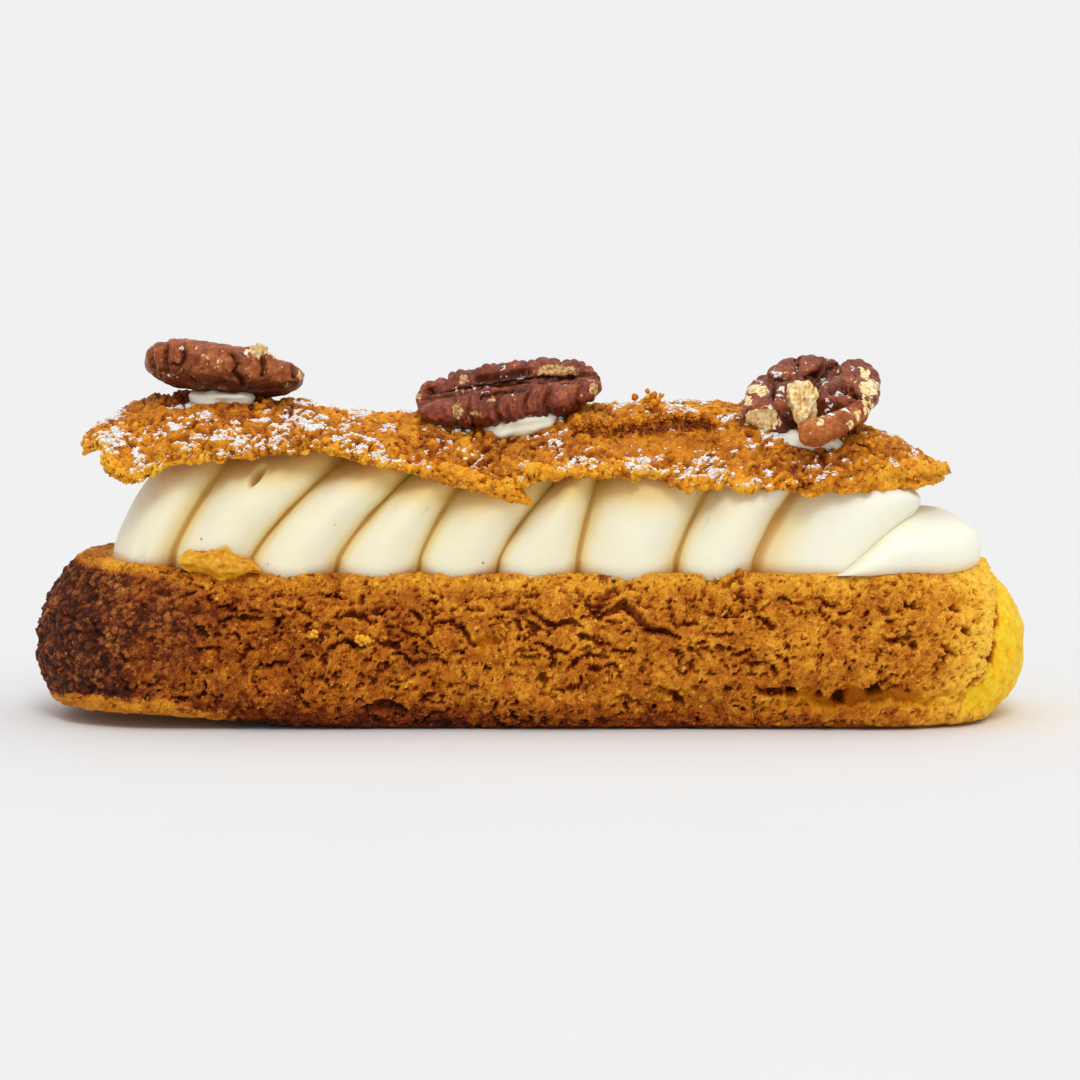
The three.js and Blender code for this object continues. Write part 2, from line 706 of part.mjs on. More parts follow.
// The dabs and nuts end above the lid, so lower copies of the lid take away what would come out below it
const lidCutters = [GAP, -0.7, -1.4, -2.1, -2.8].map((up) => lid.translate([0, 0, up]));
const thumbCutter = solidOf(
  tubeGeometry({ ...THUMB, tipRadius: THUMB.tipRadius + GAP, endRadius: THUMB.endRadius + GAP }),
);
PECANS.forEach((nut, i) => {
  const { name, at, half, tilt } = DABS[i];
  const broken = nut.name === "pecan_right";
  const whole = broken ? brokenNut(nut) : solidOf(placedGeometry(pecanGeometry(nut), nut));
  eclair.add(piece(nut.name, carve(whole, lidCutters), "pecan"));
  const swollen = solidOf(placedGeometry(pecanGeometry(nut, GAP), nut));
  const dab = lumpGeometry(half, DAB.lumps, DAB.around, DAB.along, DAB.power)
    .applyMatrix4(new THREE.Matrix4().makeShear(0, tilt, 0, 0, 0, 0))
    .translate(...at);
  const cutters = [...lidCutters, swollen, ...(broken ? [thumbCutter] : [])];
  eclair.add(piece(name, carve(solidOf(dab), cutters), "cream"));
});

const sideways = [-GAP, 0, GAP].flatMap((x) => [-GAP, 0].map((z) => cream.translate([x, -GAP, z])));
const upwards = [0, GAP].map((y) => baseSolid.translate([0, -y, GAP]));
eclair.add(piece("fruit_piece", carve(solidOf(fruitGeometry()), [...sideways, ...upwards]), "fruit"));

export default eclair;
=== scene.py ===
"""Looks of a filled eclair: a choux base under a cracked biscuit crust, a leaning rope of piped cream, a
broken choux lid dusted with icing sugar, three pecan halves on dabs of cream, and a piece of cooked fruit.

Shapes are worked out in millimetres as whole arrays and put into meshes in metres. X runs along the eclair,
Y points away from its front and Z is up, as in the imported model.
"""

import math

import bpy
import numpy as np
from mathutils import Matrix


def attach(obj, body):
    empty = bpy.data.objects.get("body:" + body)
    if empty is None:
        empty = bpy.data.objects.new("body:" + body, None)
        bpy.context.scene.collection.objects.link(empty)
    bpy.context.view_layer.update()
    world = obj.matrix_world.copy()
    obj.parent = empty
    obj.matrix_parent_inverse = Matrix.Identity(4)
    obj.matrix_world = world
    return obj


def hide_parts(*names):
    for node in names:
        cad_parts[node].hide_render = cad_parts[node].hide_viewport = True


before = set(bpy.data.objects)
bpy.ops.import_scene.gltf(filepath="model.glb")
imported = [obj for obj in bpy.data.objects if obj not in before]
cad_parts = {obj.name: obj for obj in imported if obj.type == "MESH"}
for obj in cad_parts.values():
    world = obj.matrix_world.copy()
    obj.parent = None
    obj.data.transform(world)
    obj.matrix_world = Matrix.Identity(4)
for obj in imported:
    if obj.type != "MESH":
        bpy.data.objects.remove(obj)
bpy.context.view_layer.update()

# Driving dimensions, in millimetres

MM = 0.001
WELD = 1e-4
TOUCH = 0.5  # how far a soft piece sinks into what it rests on

BASE = dict(
    left=-70.0, right=70.0, cap_left=22.0, cap_right=22.0, power_left=2.4, power_right=2.4, half_width=19.5,
    height=21.4, belly=10.5, foot=0.77, foot_right=0.68, foot_left=0.88, corner_power=2.1, shoulder=2.2,
    rim_side=0.875, rim_end=0.74, lift=2.6, lift_from=-24.0, lift_to=-57.0, rim_rise=1.3, rim_rise_from=-43.0,
    rim_rise_to=-55.0, crag=1.3, foot_fade=4.0, rim_fade=3.0, rim_crag=0.5, crust_end=60.0,
    crust_fade=4.0, bare_crag=0.2,
)
# Columns of base and lid: along the front, round the right end, along the back, round the left end
BASE_COLUMNS = (460, 190, 140, 170)
LID_COLUMNS = (330, 130, 210, 110)
BASE_ROWS = (3, 88, 12)  # on the underside, up the wall, on the cut

LID = dict(
    left=-63.6, right=58.0, cap_left=15.0, cap_right=25.0, power_left=3.4, power_right=2.1, half_width=17.5,
    crest=42.6, drop=6.9, end_flatter=0.35, thick_middle=2.7, thick_edge=1.0, thick_right=3.0, crag=1.2,
    edge_crag=0.4, edge=0.98, ragged=0.06,
)
LID_ROWS = (16, 8, 98)  # on the underside, over the edge, on top
LID_BITE = dict(x=-61.5, y=-12.0, half=3.0, depth=0.14)
RIDGE_HUMPS = [(-46.0, 13.0, 2.5), (17.0, 15.0, 1.4)]
FRONT_HANG = [(-29.0, 10.0, -3.2), (25.0, 15.0, 2.4), (-8.0, 6.0, 1.2), (-57.0, 5.5, 3.0), (38.0, 9.0, 0.9)]
BACK_HANG = [(-20.0, 15.0, 1.2), (30.0, 18.0, -1.2)]
LID_FLAP = dict(at=-4.0, width=5.0, start=-8.0, end=-16.0, reach=0.05)
LEFT_FALL = dict(start=-52.0, reach=11.0, depth=3.6)
RIGHT_FALL = dict(start=33.0, reach=25.0, depth=7.5)

CREAM = dict(
    left=(-59.8, 9.5), right=(50.5, 11.0), cap_left=9.5, cap_right=11.5, cap_power=2.3, half_width=17.1,
    height=20.5, waist=0.36, foot_angle=0.12, squareness=2.3, groove=3.9, lobe_power=0.6, groove_soft=0.006,
    foot_groove=0.7, bend=1.4, bend_at=0.57, end=55.8, end_from=29.5, end_curve=0.35, end_soft=1.0,
)
CREAM_GROOVES = [
    (-50.6, 10.5), (-40.2, 16.0), (-28.1, 15.5), (-16.5, 10.0),
    (-5.7, 13.6), (5.7, 4.5), (19.2, 8.5), (29.8, 11.0),
]
CREAM_ROWS = 60  # for each lobe
CREAM_COLUMNS = (120, 20)  # over the arch, along the underside
# The last lobe, a drop that lies on its side: its middle, half sizes, and the heights of its tail and head
END_LOBE = dict(at=(50.4, -0.6), half=(12.4, 16.4, 5.1), power=2.6, tail=21.4, head=24.2, tail_wider=1.3)

PECAN = dict(
    half_length=13.0, half_width=8.4, back=4.6, face=3.4, bluntness=0.72, cleft=3.6, cleft_width=2.1,
    furrow=0.12, furrow_angle=0.62, furrow_width=0.16,
)
# Each nut: its centre, its yaw, pitch and roll in degrees, its size and how much it tapers. Then how deep
# its rim is parted, how deep its ribs are, how far its folds lap, how far its first rubbed spot stands up,
# how stained its flesh and how tan its skin is. Its rim is parted into lobes at stops along X, on the near
# and on the far side. As seen from the front, in X and Z: folds, whose left side laps over the right one,
# and ovals where pale flesh or icing sugar shows, or where a gap is painted dark as shade, as middle and
# half sizes.
NUTS = [
    dict(
        name="left", at=(-43.8, -0.8, 49.5), turn=(4, 9, -8), size=(0.86, 0.92, 0.94), taper=0.16,
        depth=0.0, ribs=0.0, lip=0.35, flake=0.9, stain=0.4, tan=0.5,
        near=[-56, -52, -47, -41, -36, -31], far=[-56, -51, -46, -42, -38, -35, -31],
        folds=[
            [(-50.6, 50.0), (-49.6, 49.7), (-48.5, 48.3), (-47.1, 47.3), (-44.9, 46.2), (-43.5, 45.6)],
            [(-51.4, 52.4), (-51.6, 50.8), (-51.4, 49.7), (-51.2, 48.9)],
            [(-49.0, 52.4), (-48.9, 51.1), (-49.2, 50.3), (-49.6, 49.7)],
            [(-53.6, 52.2), (-53.6, 50.8), (-53.1, 49.4)],
            [(-41.0, 47.0), (-41.3, 48.0), (-42.1, 49.1), (-41.3, 49.9), (-41.7, 50.8), (-42.6, 51.8)],
            [(-44.3, 48.0), (-43.4, 47.8), (-42.3, 47.1), (-40.9, 46.6), (-37.1, 46.5), (-34.0, 47.2)],
            [(-38.2, 48.4), (-37.9, 49.5), (-38.1, 50.8)],
            [(-33.8, 48.0), (-34.1, 49.4)],
        ],
        flesh=[(-37.8, 51.8, 3.4, 1.2), (-33.0, 48.4, 0.6, 0.7)],
        shadow_gaps=[],
        dust=[
            (-49.2, 52.3, 0.4, 0.4), (-47.2, 52.3, 0.2, 0.3), (-40.4, 51.7, 0.5, 0.3),
            (-51.4, 48.4, 0.25, 0.25), (-50.0, 48.2, 0.2, 0.25),
        ],
    ),
    dict(
        name="middle", at=(-3.7, -4.6, 46.1), turn=(4, -8, 21), size=(1.0, 0.95, 0.84), taper=0.0,
        depth=0.95, ribs=0.42, lip=0.25, flake=-0.2, stain=0.85, tan=0.0,
        near=[-18, -11.6, -9.1, -4.7, -1.0, 2.0, 6.2, 10], far=[-18, -12.4, -8.2, -4.0, -0.8, 3.7, 7.0, 10],
        folds=[
            [(-14.8, 46.1), (-10.1, 46.5), (-6.9, 46.8), (-2.2, 47.6), (0.1, 48.0), (5.3, 47.8)],
            [(-7.9, 47.6), (-3.8, 48.2), (-0.8, 48.7)],
            [(-7.7, 45.9), (-4.1, 46.5), (-1.3, 47.0)],
        ],
        flesh=[
            (-10.0, 47.6, 0.9, 1.0), (-10.7, 43.9, 0.9, 1.1), (-8.2, 43.4, 1.2, 0.45),
            (-6.3, 45.3, 0.8, 0.35), (-16.2, 45.3, 0.5, 0.5), (2.9, 48.9, 3.6, 0.9), (8.2, 46.7, 0.7, 1.2),
        ],
        shadow_gaps=[],
        dust=[
            (-11.2, 46.5, 0.8, 0.35), (-8.5, 46.8, 0.8, 0.45), (-6.0, 47.8, 0.7, 0.3),
            (-4.4, 48.0, 0.7, 0.25), (-6.9, 46.5, 1.2, 0.25), (-2.1, 47.9, 0.9, 0.3),
            (-3.1, 46.2, 0.45, 0.35), (-4.4, 49.4, 0.45, 0.6), (4.3, 47.5, 1.0, 0.3),
        ],
    ),
    dict(
        name="right", at=(38.7, -5.4, 45.6), turn=(70, -21, 2), size=(0.92, 1.12, 0.82), taper=0.0,
        depth=0.5, ribs=0.25, lip=0.3, flake=-0.2, stain=0.0, tan=0.08,
        near=[28, 33, 36.9, 41, 45, 50], far=[28, 33, 36.9, 41, 45, 50], broken=True,
        folds=[
            [(37.0, 48.4), (37.2, 50.9)], [(35.9, 48.1), (33.4, 47.8), (33.1, 45.5)],
            [(38.1, 48.1), (40.6, 48.1), (42.5, 49.1)], [(41.3, 46.6), (43.1, 46.7)],
            [(41.1, 40.1), (41.7, 41.0), (42.8, 42.0)], [(44.0, 46.4), (46.5, 44.6)],
            [(43.6, 45.2), (45.6, 43.2)],
        ],
        flesh=[
            (32.0, 42.4, 2.3, 1.9), (30.9, 46.4, 2.0, 0.75), (29.6, 45.0, 0.7, 0.7), (40.2, 49.1, 0.7, 0.7),
            (37.5, 50.7, 0.5, 0.35), (46.6, 46.7, 1.8, 1.4), (46.0, 44.0, 1.4, 1.5), (46.2, 48.6, 0.7, 0.9),
            (40.0, 41.8, 0.9, 0.5),
        ],
        shadow_gaps=[(34.9, 42.4, 1.1, 2.6)],
        dust=[
            (33.9, 48.4, 0.95, 0.65), (31.6, 47.3, 0.65, 0.3), (34.5, 46.7, 1.1, 0.45),
            (34.2, 45.9, 0.9, 0.35), (39.5, 49.1, 0.6, 0.4), (40.5, 45.3, 0.5, 0.35),
            (41.1, 44.7, 0.4, 0.3), (40.5, 44.0, 0.5, 0.4), (40.5, 47.7, 0.5, 0.9),
            (42.2, 48.8, 0.8, 0.4), (42.2, 46.2, 0.9, 0.35), (40.6, 42.9, 1.5, 0.45), (42.7, 43.6, 0.8, 0.45),
            (44.7, 49.2, 0.5, 0.4), (36.9, 49.2, 0.35, 0.7), (32.8, 44.4, 0.6, 0.3),
        ],
    ),
]
# How the right nut is broken, along its own length and width: the notch that parts its near end, the lesser
# notch at its far end, and where its left and its right lobe end
BROKEN = dict(
    notch=7.5, notch_width=1.7, far_notch=2.8, far_at=-1.8, far_width=1.1, snapped=-8.0, right_end=-5.0,
)
# The pale oval on the snapped lobe, as seen from the front: middle X and Z and half sizes
SNAPPED_FACE = [(31.5, 42.9, 2.6, 2.3)]
# The right nut's right lobe, which bends round in front of the cleft: its tip, its bend, its end and its
# radius there, then the ovals where pale flesh and icing sugar show on it
THUMB = dict(
    tip=(36.4, -14.4, 41.0), bend=(43.0, -15.0, 41.8), end=(46.2, -8.6, 44.6), tip_radius=2.5, end_radius=1.6,
    flesh=[(39.4, 42.7, 0.8, 0.5), (44.6, 43.4, 0.5, 1.0), (45.8, 44.4, 0.5, 1.2), (43.6, 42.2, 0.35, 0.7)],
    dust=[(40.2, 43.6, 1.6, 0.4), (42.9, 44.2, 0.9, 0.4)],
)
# The piece of pale flesh that stands in the right nut's cleft
TONGUE = dict(at=(37.2, -11.0, 44.5), half=(1.95, 1.5, 2.9), taper=0.45)
DABS = [
    dict(name="left", at=(-44.0, -1.9, 44.9), half=(4.8, 4.0, 1.2), tilt=-0.03),
    dict(name="middle", at=(-2.1, -7.0, 41.7), half=(5.2, 4.2, 1.7), tilt=0.15),
    dict(name="right", at=(38.5, -8.3, 39.4), half=(5.0, 3.9, 1.4), tilt=-0.14),
]
# The fruit piece's upper and lower outline as X and Z, seen from the front, and its middle and half size in
# depth
FRUIT = dict(
    top=[
        (-49.3, 23.9), (-48.1, 24.8), (-44.0, 25.3), (-42.5, 25.9), (-41.8, 24.4), (-39.4, 23.9),
        (-37.8, 22.3),
    ],
    bottom=[
        (-49.3, 23.2), (-48.3, 22.3), (-45.9, 21.9), (-43.2, 20.9), (-41.8, 21.0), (-40.2, 21.6),
        (-37.8, 21.9),
    ],
    at_y=-16.5, half_y=2.6,
)
# Crumbs that stand out: middle, radius and how darkly each is baked
LONE_CRUMBS = [
    ((16.5, -5.0, 45.2), 1.6, 0.32), ((-30.8, -20.3, 13.8), 0.85, 0.1), ((-24.0, -20.4, 13.2), 0.9, 0.08),
    ((28.4, -17.0, 22.0), 0.8, 0.5), ((46.5, -10.5, 39.6), 0.9, 0.3), ((-51.4, -17.0, 22.4), 0.6, 0.4),
    ((-49.2, -17.2, 21.9), 0.7, 0.6), ((-22.0, -17.7, 20.4), 0.5, 0.14), ((-13.1, -17.7, 20.3), 0.4, 0.12),
]
# Each is a knot of pebbles: how many, how far they spread along each axis and how large they are, by its
# radius
KNOT = dict(count=16, spread=(0.54, 0.27, 0.315), sizes=(0.22, 0.5))

CRAGS = [((7.0, 4.5, 3.6), (11.0, 3.0, 0.0), 1.3), ((3.1, 2.3, 2.1), (0.0, 8.0, 5.0), 0.7)]
BREAKS = [((5.5, 5.5, 1.0), (31.0, 7.0, 2.5), 1.2), ((2.2, 2.2, 1.0), (5.0, 19.0, 8.5), 0.7)]
TEETH = [((0.55, 0.55, 0.6), (3.0, 41.0, 1.5), 1.0), ((1.5, 1.5, 1.5), (8.0, 4.0, 2.5), 0.7)]
SWELLS = [((0.5, 0.5, 0.5), (9.0, 4.0, 6.0), 1.0)]

# Camera: the photo's view, from a little above the front
VIEW_AIM = (0.7, 0.0, 24.6)
VIEW_DISTANCE = 600.0
VIEW_ELEVATION = math.radians(6.3)
VIEW_FOCAL = 4226 / 1080  # focal length as a share of the picture's width
SENSOR = 36.0

RANDOM = np.random.default_rng(7)


# Shared shapes of numbers

def clamp01(t):
    return np.clip(t, 0.0, 1.0)


def mix(a, b, t):
    return a + (b - a) * t


def smooth(start, end, x):
    """Eased step from 0 at start to 1 at end."""
    t = clamp01((x - start) / (end - start))
    return t * t * (3 - 2 * t)


def bell(x, middle, width):
    return np.exp(-(((x - middle) / width) ** 2))


def bells(x, humps):
    return sum(much * bell(x, at, width) for at, width, much in humps)


def root(c, power):
    """Signed power that squares off a sine or cosine: 2 leaves it round, more is squarer."""
    return np.sign(c) * np.abs(c) ** (2 / power)


def cell_value(i, j, k):
    """Repeatable random value from 0 to 1 for each cell of a grid."""
    s = np.sin(i * 127.1 + j * 311.7 + k * 74.7) * 43758.5453
    return s - np.floor(s)


def noise(x, y, z):
    """Smooth noise from 0 to 1: the eight corner values of a cell, eased into each other."""
    i, j, k = np.floor(x), np.floor(y), np.floor(z)
    u, v, w = (t * t * (3 - 2 * t) for t in (x - i, y - j, z - k))

    def edge(dj, dk):
        return mix(cell_value(i, j + dj, k + dk), cell_value(i + 1, j + dj, k + dk), u)

    return mix(mix(edge(0, 0), edge(1, 0), v), mix(edge(0, 1), edge(1, 1), v), w)


def layered(layers, x, y, z):
    """Layers of noise added up, about -1 to 1."""
    total = 0.0
    for size, start, share in layers:
        value = noise(x / size[0] + start[0], y / size[1] + start[1], z / size[2] + start[2])
        total = total + share * (value - 0.5)
    return total


def fuzz(points, size, seed):
    """One layer of smooth noise from 0 to 1 with lumps of the given size."""
    x, y, z = (points[..., axis] / size + seed * (3.7 + axis) for axis in range(3))
    return noise(x, y, z)


def ripple(points, *layers):
    """Layers of smooth noise around nought, added up. Each has its height, the size of its lumps and its
    seed."""
    return sum(height * (fuzz(points, size, seed) - 0.5) for height, size, seed in layers)


def cells(points, size, seed):
    """Of points scattered one to a cell: the distances, in cells, to the nearest and the next, and the
    nearest's chance and place."""
    size = np.asarray(size)
    scaled = points / size + seed * 5.3
    home = np.floor(scaled)
    near = np.full(points.shape[:-1], 9.0)
    second = near.copy()
    chance = np.zeros_like(near)
    place = np.zeros_like(points)
    for shift in np.ndindex(3, 3, 3):
        i, j, k = (home[..., axis] + shift[axis] - 1 for axis in range(3))
        spot = [i + cell_value(i + 17, j, k), j + cell_value(i, j + 31, k), k + cell_value(i, j, k + 47)]
        spot = np.stack(spot, -1)
        far = np.linalg.norm(spot - scaled, axis=-1)
        closer = far < near
        second = np.where(closer, near, np.minimum(second, far))
        chance = np.where(closer, cell_value(i + 5, j + 9, k + 2), chance)
        place = np.where(closer[..., None], spot, place)
        near = np.where(closer, far, near)
    return near, second, chance, (place - seed * 5.3) * size


# Meshes from arrays

def grid_triangles(rows, columns):
    """Two triangles for each square of a grid of points, the last column joined to the first."""
    row, column = np.meshgrid(np.arange(rows - 1), np.arange(columns), indexing="ij")
    a = row * columns + column
    b = row * columns + (column + 1) % columns
    c, d = b + columns, a + columns
    return np.concatenate([np.stack([a, b, c], -1).reshape(-1, 3), np.stack([a, c, d], -1).reshape(-1, 3)])


def welded(points, triangles, values):
    """Joins points that lie on each other and drops triangles that collapse, so that seams and poles are
    closed."""
    keys = np.round(points / WELD).astype(np.int64)
    _, first, place = np.unique(keys, axis=0, return_index=True, return_inverse=True)
    triangles = place.reshape(-1)[triangles]
    a, b, c = triangles.T
    kept = triangles[(a != b) & (b != c) & (c != a)]
    return points[first], kept, {name: value[first] for name, value in values.items()}


def mesh_piece(name, points, triangles, values, material, slot, nodes=(), rounded=True):
    """Puts points in millimetres, triangles and values for each point into a mesh object that rides on the
    eclair."""
    mesh = bpy.data.meshes.new(name)
    mesh.vertices.add(len(points))
    mesh.vertices.foreach_set("co", (points * MM).astype(np.float32).ravel())
    mesh.loops.add(3 * len(triangles))
    mesh.loops.foreach_set("vertex_index", triangles.astype(np.int32).ravel())
    mesh.polygons.add(len(triangles))
    mesh.polygons.foreach_set("loop_start", np.arange(0, 3 * len(triangles), 3, dtype=np.int32))
    mesh.polygons.foreach_set("use_smooth", np.full(len(triangles), rounded))
    for label, value in values.items():
        layer = mesh.attributes.new(label, "FLOAT", "POINT")
        layer.data.foreach_set("value", value.astype(np.float32).ravel())
    mesh.update(calc_edges=True)
    mesh.validate()
    mesh.materials.append(material)
    piece = bpy.data.objects.new(name, mesh)
    bpy.context.scene.collection.objects.link(piece)
    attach(piece, "root")
    if nodes:
        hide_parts(*nodes)


def grid_piece(name, points, values, material, slot, nodes=()):
    """A closed piece from a grid of points, rows by columns, seen from outside with rows upwards."""
    rows, columns = points.shape[:2]
    flat = {label: np.broadcast_to(value, (rows, columns)).reshape(-1) for label, value in values.items()}
    triangles = grid_triangles(rows, columns)
    mesh_piece(name, *welded(points.reshape(-1, 3), triangles, flat), material, slot, nodes)


def grid_normals(points):
    """Outward directions of a grid whose columns wrap: the cross product of its two runs of differences."""
    across = np.roll(points, -1, axis=1) - np.roll(points, 1, axis=1)
    up = np.gradient(points, axis=0)
    normals = np.cross(across, up)
    length = np.linalg.norm(normals, axis=-1, keepdims=True)
    return normals / np.maximum(length, 1e-9)


def pushed(points, height):
    """Points of a grid moved outwards by a height."""
    return points + grid_normals(points) * height[..., None]


def round_grid(columns, rows):
    """Angles of a round piece: a whole turn round it for its columns, half a turn along it for its rows."""
    turn = 2 * math.pi * np.arange(columns) / columns
    along = (math.pi * np.arange(rows) / (rows - 1))[:, None]
    return turn, along


def grid_areas(points):
    """About how much surface each point of a wrapping grid stands for."""
    across = 0.5 * (np.roll(points, -1, axis=1) - np.roll(points, 1, axis=1))
    up = np.gradient(points, axis=0)
    return np.linalg.norm(np.cross(across, up), axis=-1)


def sampled(points, weights, count):
    """Random places on a grid: the row, the column and the point, drawn by weight and moved within their
    square."""
    odds = weights.ravel() / weights.sum()
    drawn = RANDOM.choice(odds.size, size=count, p=odds)
    row, column = np.unravel_index(drawn, weights.shape)
    up = RANDOM.random((count, 1))
    across = RANDOM.random((count, 1))
    above = np.minimum(row + 1, points.shape[0] - 1)
    beside = (column + 1) % points.shape[1]
    low = mix(points[row, column], points[row, beside], across)
    high = mix(points[above, column], points[above, beside], across)
    return row, column, mix(low, high, up)


def icosahedron():
    """Points and triangles of the ball with twenty faces, radius 1."""
    g = (1 + math.sqrt(5)) / 2
    points = np.array([
        (-1, g, 0), (1, g, 0), (-1, -g, 0), (1, -g, 0), (0, -1, g), (0, 1, g),
        (0, -1, -g), (0, 1, -g), (g, 0, -1), (g, 0, 1), (-g, 0, -1), (-g, 0, 1),
    ])
    triangles = np.array([
        (0, 11, 5), (0, 5, 1), (0, 1, 7), (0, 7, 10), (0, 10, 11), (1, 5, 9), (5, 11, 4), (11, 10, 2),
        (10, 7, 6), (7, 1, 8), (3, 9, 4), (3, 4, 2), (3, 2, 6), (3, 6, 8), (3, 8, 9), (4, 9, 5),
        (2, 4, 11), (6, 2, 10), (8, 6, 7), (9, 8, 1),
    ])
    return points / np.linalg.norm(points[0]), triangles


def octahedron():
    """Points and triangles of the ball with eight faces, radius 1."""
    points = np.array([(1, 0, 0), (-1, 0, 0), (0, 1, 0), (0, -1, 0), (0, 0, 1), (0, 0, -1)])
    triangles = np.array([
        (0, 2, 4), (2, 1, 4), (1, 3, 4), (3, 0, 4), (2, 0, 5), (1, 2, 5), (3, 1, 5), (0, 3, 5),
    ])
    return points, triangles


def random_turns(count):
    """Turn matrices from random unit quaternions."""
    q = RANDOM.normal(size=(count, 4))
    w, x, y, z = (q / np.linalg.norm(q, axis=1, keepdims=True)).T
    rows = [
        1 - 2 * (y * y + z * z), 2 * (x * y - z * w), 2 * (x * z + y * w),
        2 * (x * y + z * w), 1 - 2 * (x * x + z * z), 2 * (y * z - x * w),
        2 * (x * z - y * w), 2 * (y * z + x * w), 1 - 2 * (x * x + y * y),
    ]
    return np.stack(rows, -1).reshape(count, 3, 3)


def upwards(count):
    """Directions straight up."""
    return np.broadcast_to((0.0, 0.0, 1.0), (count, 3))


# Pebbles: how far their points are pushed in and out, and how deep they sink, both as shares of the radius
PEBBLE = dict(uneven=(0.72, 1.28), sunk=0.3)


def pebbles(name, places, normals, radii, flatness, values, material, slot, ball=icosahedron):
    """Many uneven pebbles as one mesh: each is a ball of few faces with its points pushed in or out at
    random, turned at random, then pressed flat along the surface's normal."""
    corners, triangles = ball()
    count = len(places)
    uneven = corners[None] * RANDOM.uniform(*PEBBLE["uneven"], (count, len(corners), 1))
    turned = np.einsum("nij,npj->npi", random_turns(count), uneven)
    along = np.einsum("npj,nj->np", turned, normals)[..., None] * normals[:, None]
    shaped = (turned - (1 - flatness) * along) * radii[:, None, None]
    sunk = places - PEBBLE["sunk"] * radii[:, None] * normals
    points = (sunk[:, None] + shaped).reshape(-1, 3)
    faces = (triangles[None] + len(corners) * np.arange(count)[:, None, None]).reshape(-1, 3)
    spread = {label: np.repeat(value, len(corners)) for label, value in values.items()}
    mesh_piece(name, points, faces, spread, material, slot, rounded=ball is icosahedron)


def scatter_crumbs(name, kinds, rough, shape, normals, toast_and_shading, carried, material):
    """Crumbs baked onto a crust, one piece for each kind, which has a name, a count, how much darker than
    the crust it is, a radius and the odds of lying at each point. Rough says how radius and tone vary, the
    largest radius and how flat the crumbs are. Carried are further values that they take from the crust."""
    for kind, count, darker, radius, odds in kinds:
        row, column, places = sampled(shape, odds, count)
        radii = np.minimum(radius * RANDOM.lognormal(0, rough["radius"], count), rough["largest"])
        tone = toast_and_shading[row, column] + darker + rough["tone"] * RANDOM.normal(size=count)
        values = dict(toast_and_shading=tone, **{label: value[row, column] for label, value in carried.items()})
        pebbles(
            f"{name}_{kind}", places, normals[row, column], radii, rough["flatness"], values, material,
            "choux", octahedron,
        )


# Plan and crust that base and lid share

def loaf_plan(shape, columns):
    """Plan around a spine on the X axis: front side, right cap, back side, left cap, each cap a squared
    ellipse whose columns are closer together near the front. Gives the spine point and the reach to the
    outline for each column."""
    front, cap_right, back, cap_left = (np.arange(count) / count for count in columns)
    start = shape["left"] + shape["cap_left"]
    end = shape["right"] - shape["cap_right"]
    wide = shape["half_width"]
    cap_right = cap_right * (1 + cap_right) / 2
    cap_left = 1 - (1 - cap_left) * (2 - cap_left) / 2
    power_left, power_right = shape["power_left"], shape["power_right"]
    turn_right = math.pi * (cap_right - 0.5)
    turn_left = math.pi * (cap_left - 0.5)
    spine = [
        mix(start, end, front), np.full(cap_right.shape, end),
        mix(end, start, back), np.full(cap_left.shape, start),
    ]
    out = [
        0 * front, shape["cap_right"] * root(np.cos(turn_right), power_right),
        0 * back, -shape["cap_left"] * root(np.cos(turn_left), power_left),
    ]
    side = [
        np.full(front.shape, -wide), wide * root(np.sin(turn_right), power_right),
        np.full(back.shape, wide), -wide * root(np.sin(turn_left), power_left),
    ]
    return np.concatenate(spine), np.concatenate(out), np.concatenate(side)


# Crust: cracks run where one noise is about nought, pits lie where another is low, and both have edges of
# whole grains
CRUST = dict(
    grain=(0.62, 0.62, 0.5), snap=0.7, uneven=0.06, crack=0.05, crack_wall=0.02, pit=0.222, pit_wall=0.04,
    depth=1.0,
)
CRACK_NOISE = [((4.6, 4.6, 2.0), (2.0, 9.0, 4.0), 1.0), ((1.7, 1.7, 0.9), (7.0, 1.0, 3.0), 0.45)]
PIT_NOISE = [((1.2, 1.2, 0.8), (2.0, 9.0, 4.0), 1.0), ((0.7, 0.7, 0.5), (7.0, 1.0, 3.0), 0.7)]


def drifted(points, size, much, seed):
    """Points moved about by smooth noise."""
    drift = np.stack([fuzz(points, size, seed + step) - 0.5 for step in (1.0, 2.0, 3.0)], -1)
    return points + much * drift


